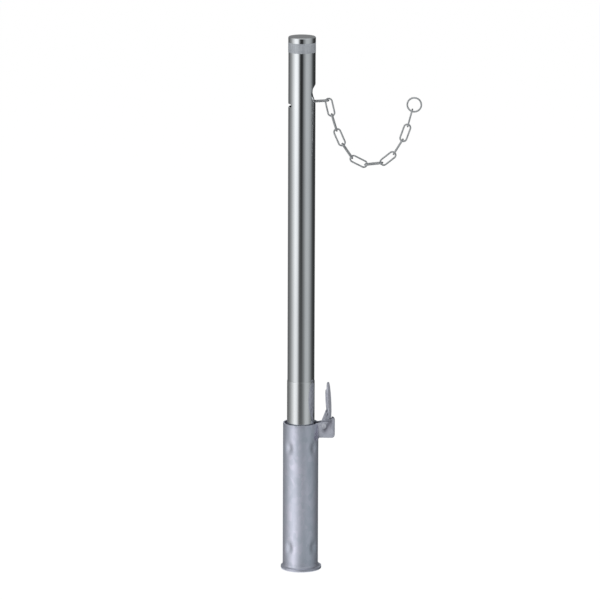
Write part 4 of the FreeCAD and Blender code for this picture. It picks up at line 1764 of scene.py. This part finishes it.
    def screen(self) -> None:
        """The reflection screen: a round wall and the mat inside it, each point's glow from the tables."""
        columns = self.screen_columns
        angle = np.linspace(-180, 180, columns, endpoint=False)
        reach = np.concatenate([np.linspace(*rows) for rows in self.mat_rows])
        height = np.concatenate([np.linspace(*rows) for rows in self.wall_rows])
        glow = np.concatenate([self.mat_glow(angle, reach), self.screen_glow(angle, height)])
        soft = np.array(self.blur) / sum(self.blur)
        padded = np.concatenate([glow[:, -2:], glow, glow[:, :2]], axis=1)
        glow = sum(share * padded[:, step:step + columns] for step, share in enumerate(soft))
        foot_tint, tint = (np.stack([np.interp(angle, self.tint_angles, part) for part in zip(*table)], axis=-1)
                           for table in (self.foot_tints, self.tints))
        rise = np.concatenate([np.zeros(len(reach)), ramp(height, *self.foot_ramp)])[:, None, None]
        tint = foot_tint + rise * (tint - foot_tint)
        a = math.radians(self.azimuth_deg)
        toward, right = np.array([math.sin(a), -math.cos(a)]), np.array([math.cos(a), math.sin(a)])
        turn = np.radians(angle)
        plan = np.cos(turn)[:, None] * toward + np.sin(turn)[:, None] * right
        points = np.empty((len(glow), columns, 3))
        points[..., :2] = plan * np.concatenate([reach, np.full(len(height), self.screen_r)])[:, None, None]
        points[..., 2] = np.concatenate([np.full(len(reach), height[0]), height])[:, None]
        skin = Skin.of_grid(points, wrap_columns=True)
        mesh = bpy.data.meshes.new("studio_screen")
        mesh.from_pydata(skin.points.tolist(), [], skin.quads.tolist())
        colours = np.ones((len(skin.points), 4), np.float32)
        colours[:, :3] = (glow[..., None] * tint).reshape(-1, 3)
        layer = mesh.attributes.new(GLOW, "FLOAT_COLOR", "POINT")
        layer.data.foreach_set("color", colours.ravel())
        recipe = Recipe("light_and_dark_panels")
        light = recipe.node("ShaderNodeEmission", Color=recipe.attribute(GLOW).outputs["Color"], Strength=1.0)
        recipe.feed(recipe.tree.nodes["Material Output"].inputs["Surface"], light.outputs[0])
        mesh.materials.append(recipe.material)
        screen = bpy.data.objects.new("studio_screen", mesh)
        bpy.context.scene.collection.objects.link(screen)
        for ray in ("camera", "diffuse", "transmission", "volume_scatter", "shadow"):
            setattr(screen, f"visible_{ray}", False)

    def light(self, lamp: Lamp) -> None:
        """Sets up a lamp that aims at the middle of the object and isn't seen in mirrors.

        Args:
            lamp: the lamp.
        """
        data = bpy.data.lights.new(lamp.name, "AREA")
        data.shape, data.size, data.energy = "SQUARE", lamp.size, lamp.watts
        made = bpy.data.objects.new(lamp.name, data)
        back = towards(lamp.azimuth_deg, lamp.elevation_deg)
        made.location = Vector((0, 0, self.lamp_aim_z)) + back * lamp.distance
        made.rotation_mode = "QUATERNION"
        made.rotation_quaternion = (-back).to_track_quat("-Z", "Y")
        made.visible_glossy = False
        bpy.context.scene.collection.objects.link(made)

    def build(self) -> None:
        """Sets up the whole studio."""
        self.camera()
        self.world()
        self.floor()
        self.screen()
        for lamp in self.lamps:
            self.light(lamp)
        bpy.context.scene.view_settings.view_transform = "Standard"
        LOG.info("studio: floor, screen, %d lamps and the camera", len(self.lamps))


def main() -> None:
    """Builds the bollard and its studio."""
    logging.basicConfig(level=logging.INFO, format="%(name)s: %(message)s")
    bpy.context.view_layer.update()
    bench, finish = Bench(), Finishes()
    Studio().build()
    for part in (Socket(), Lid(), Post(), Chain()):
        part.build(bench, finish)


if __name__ == "__main__":
    main()
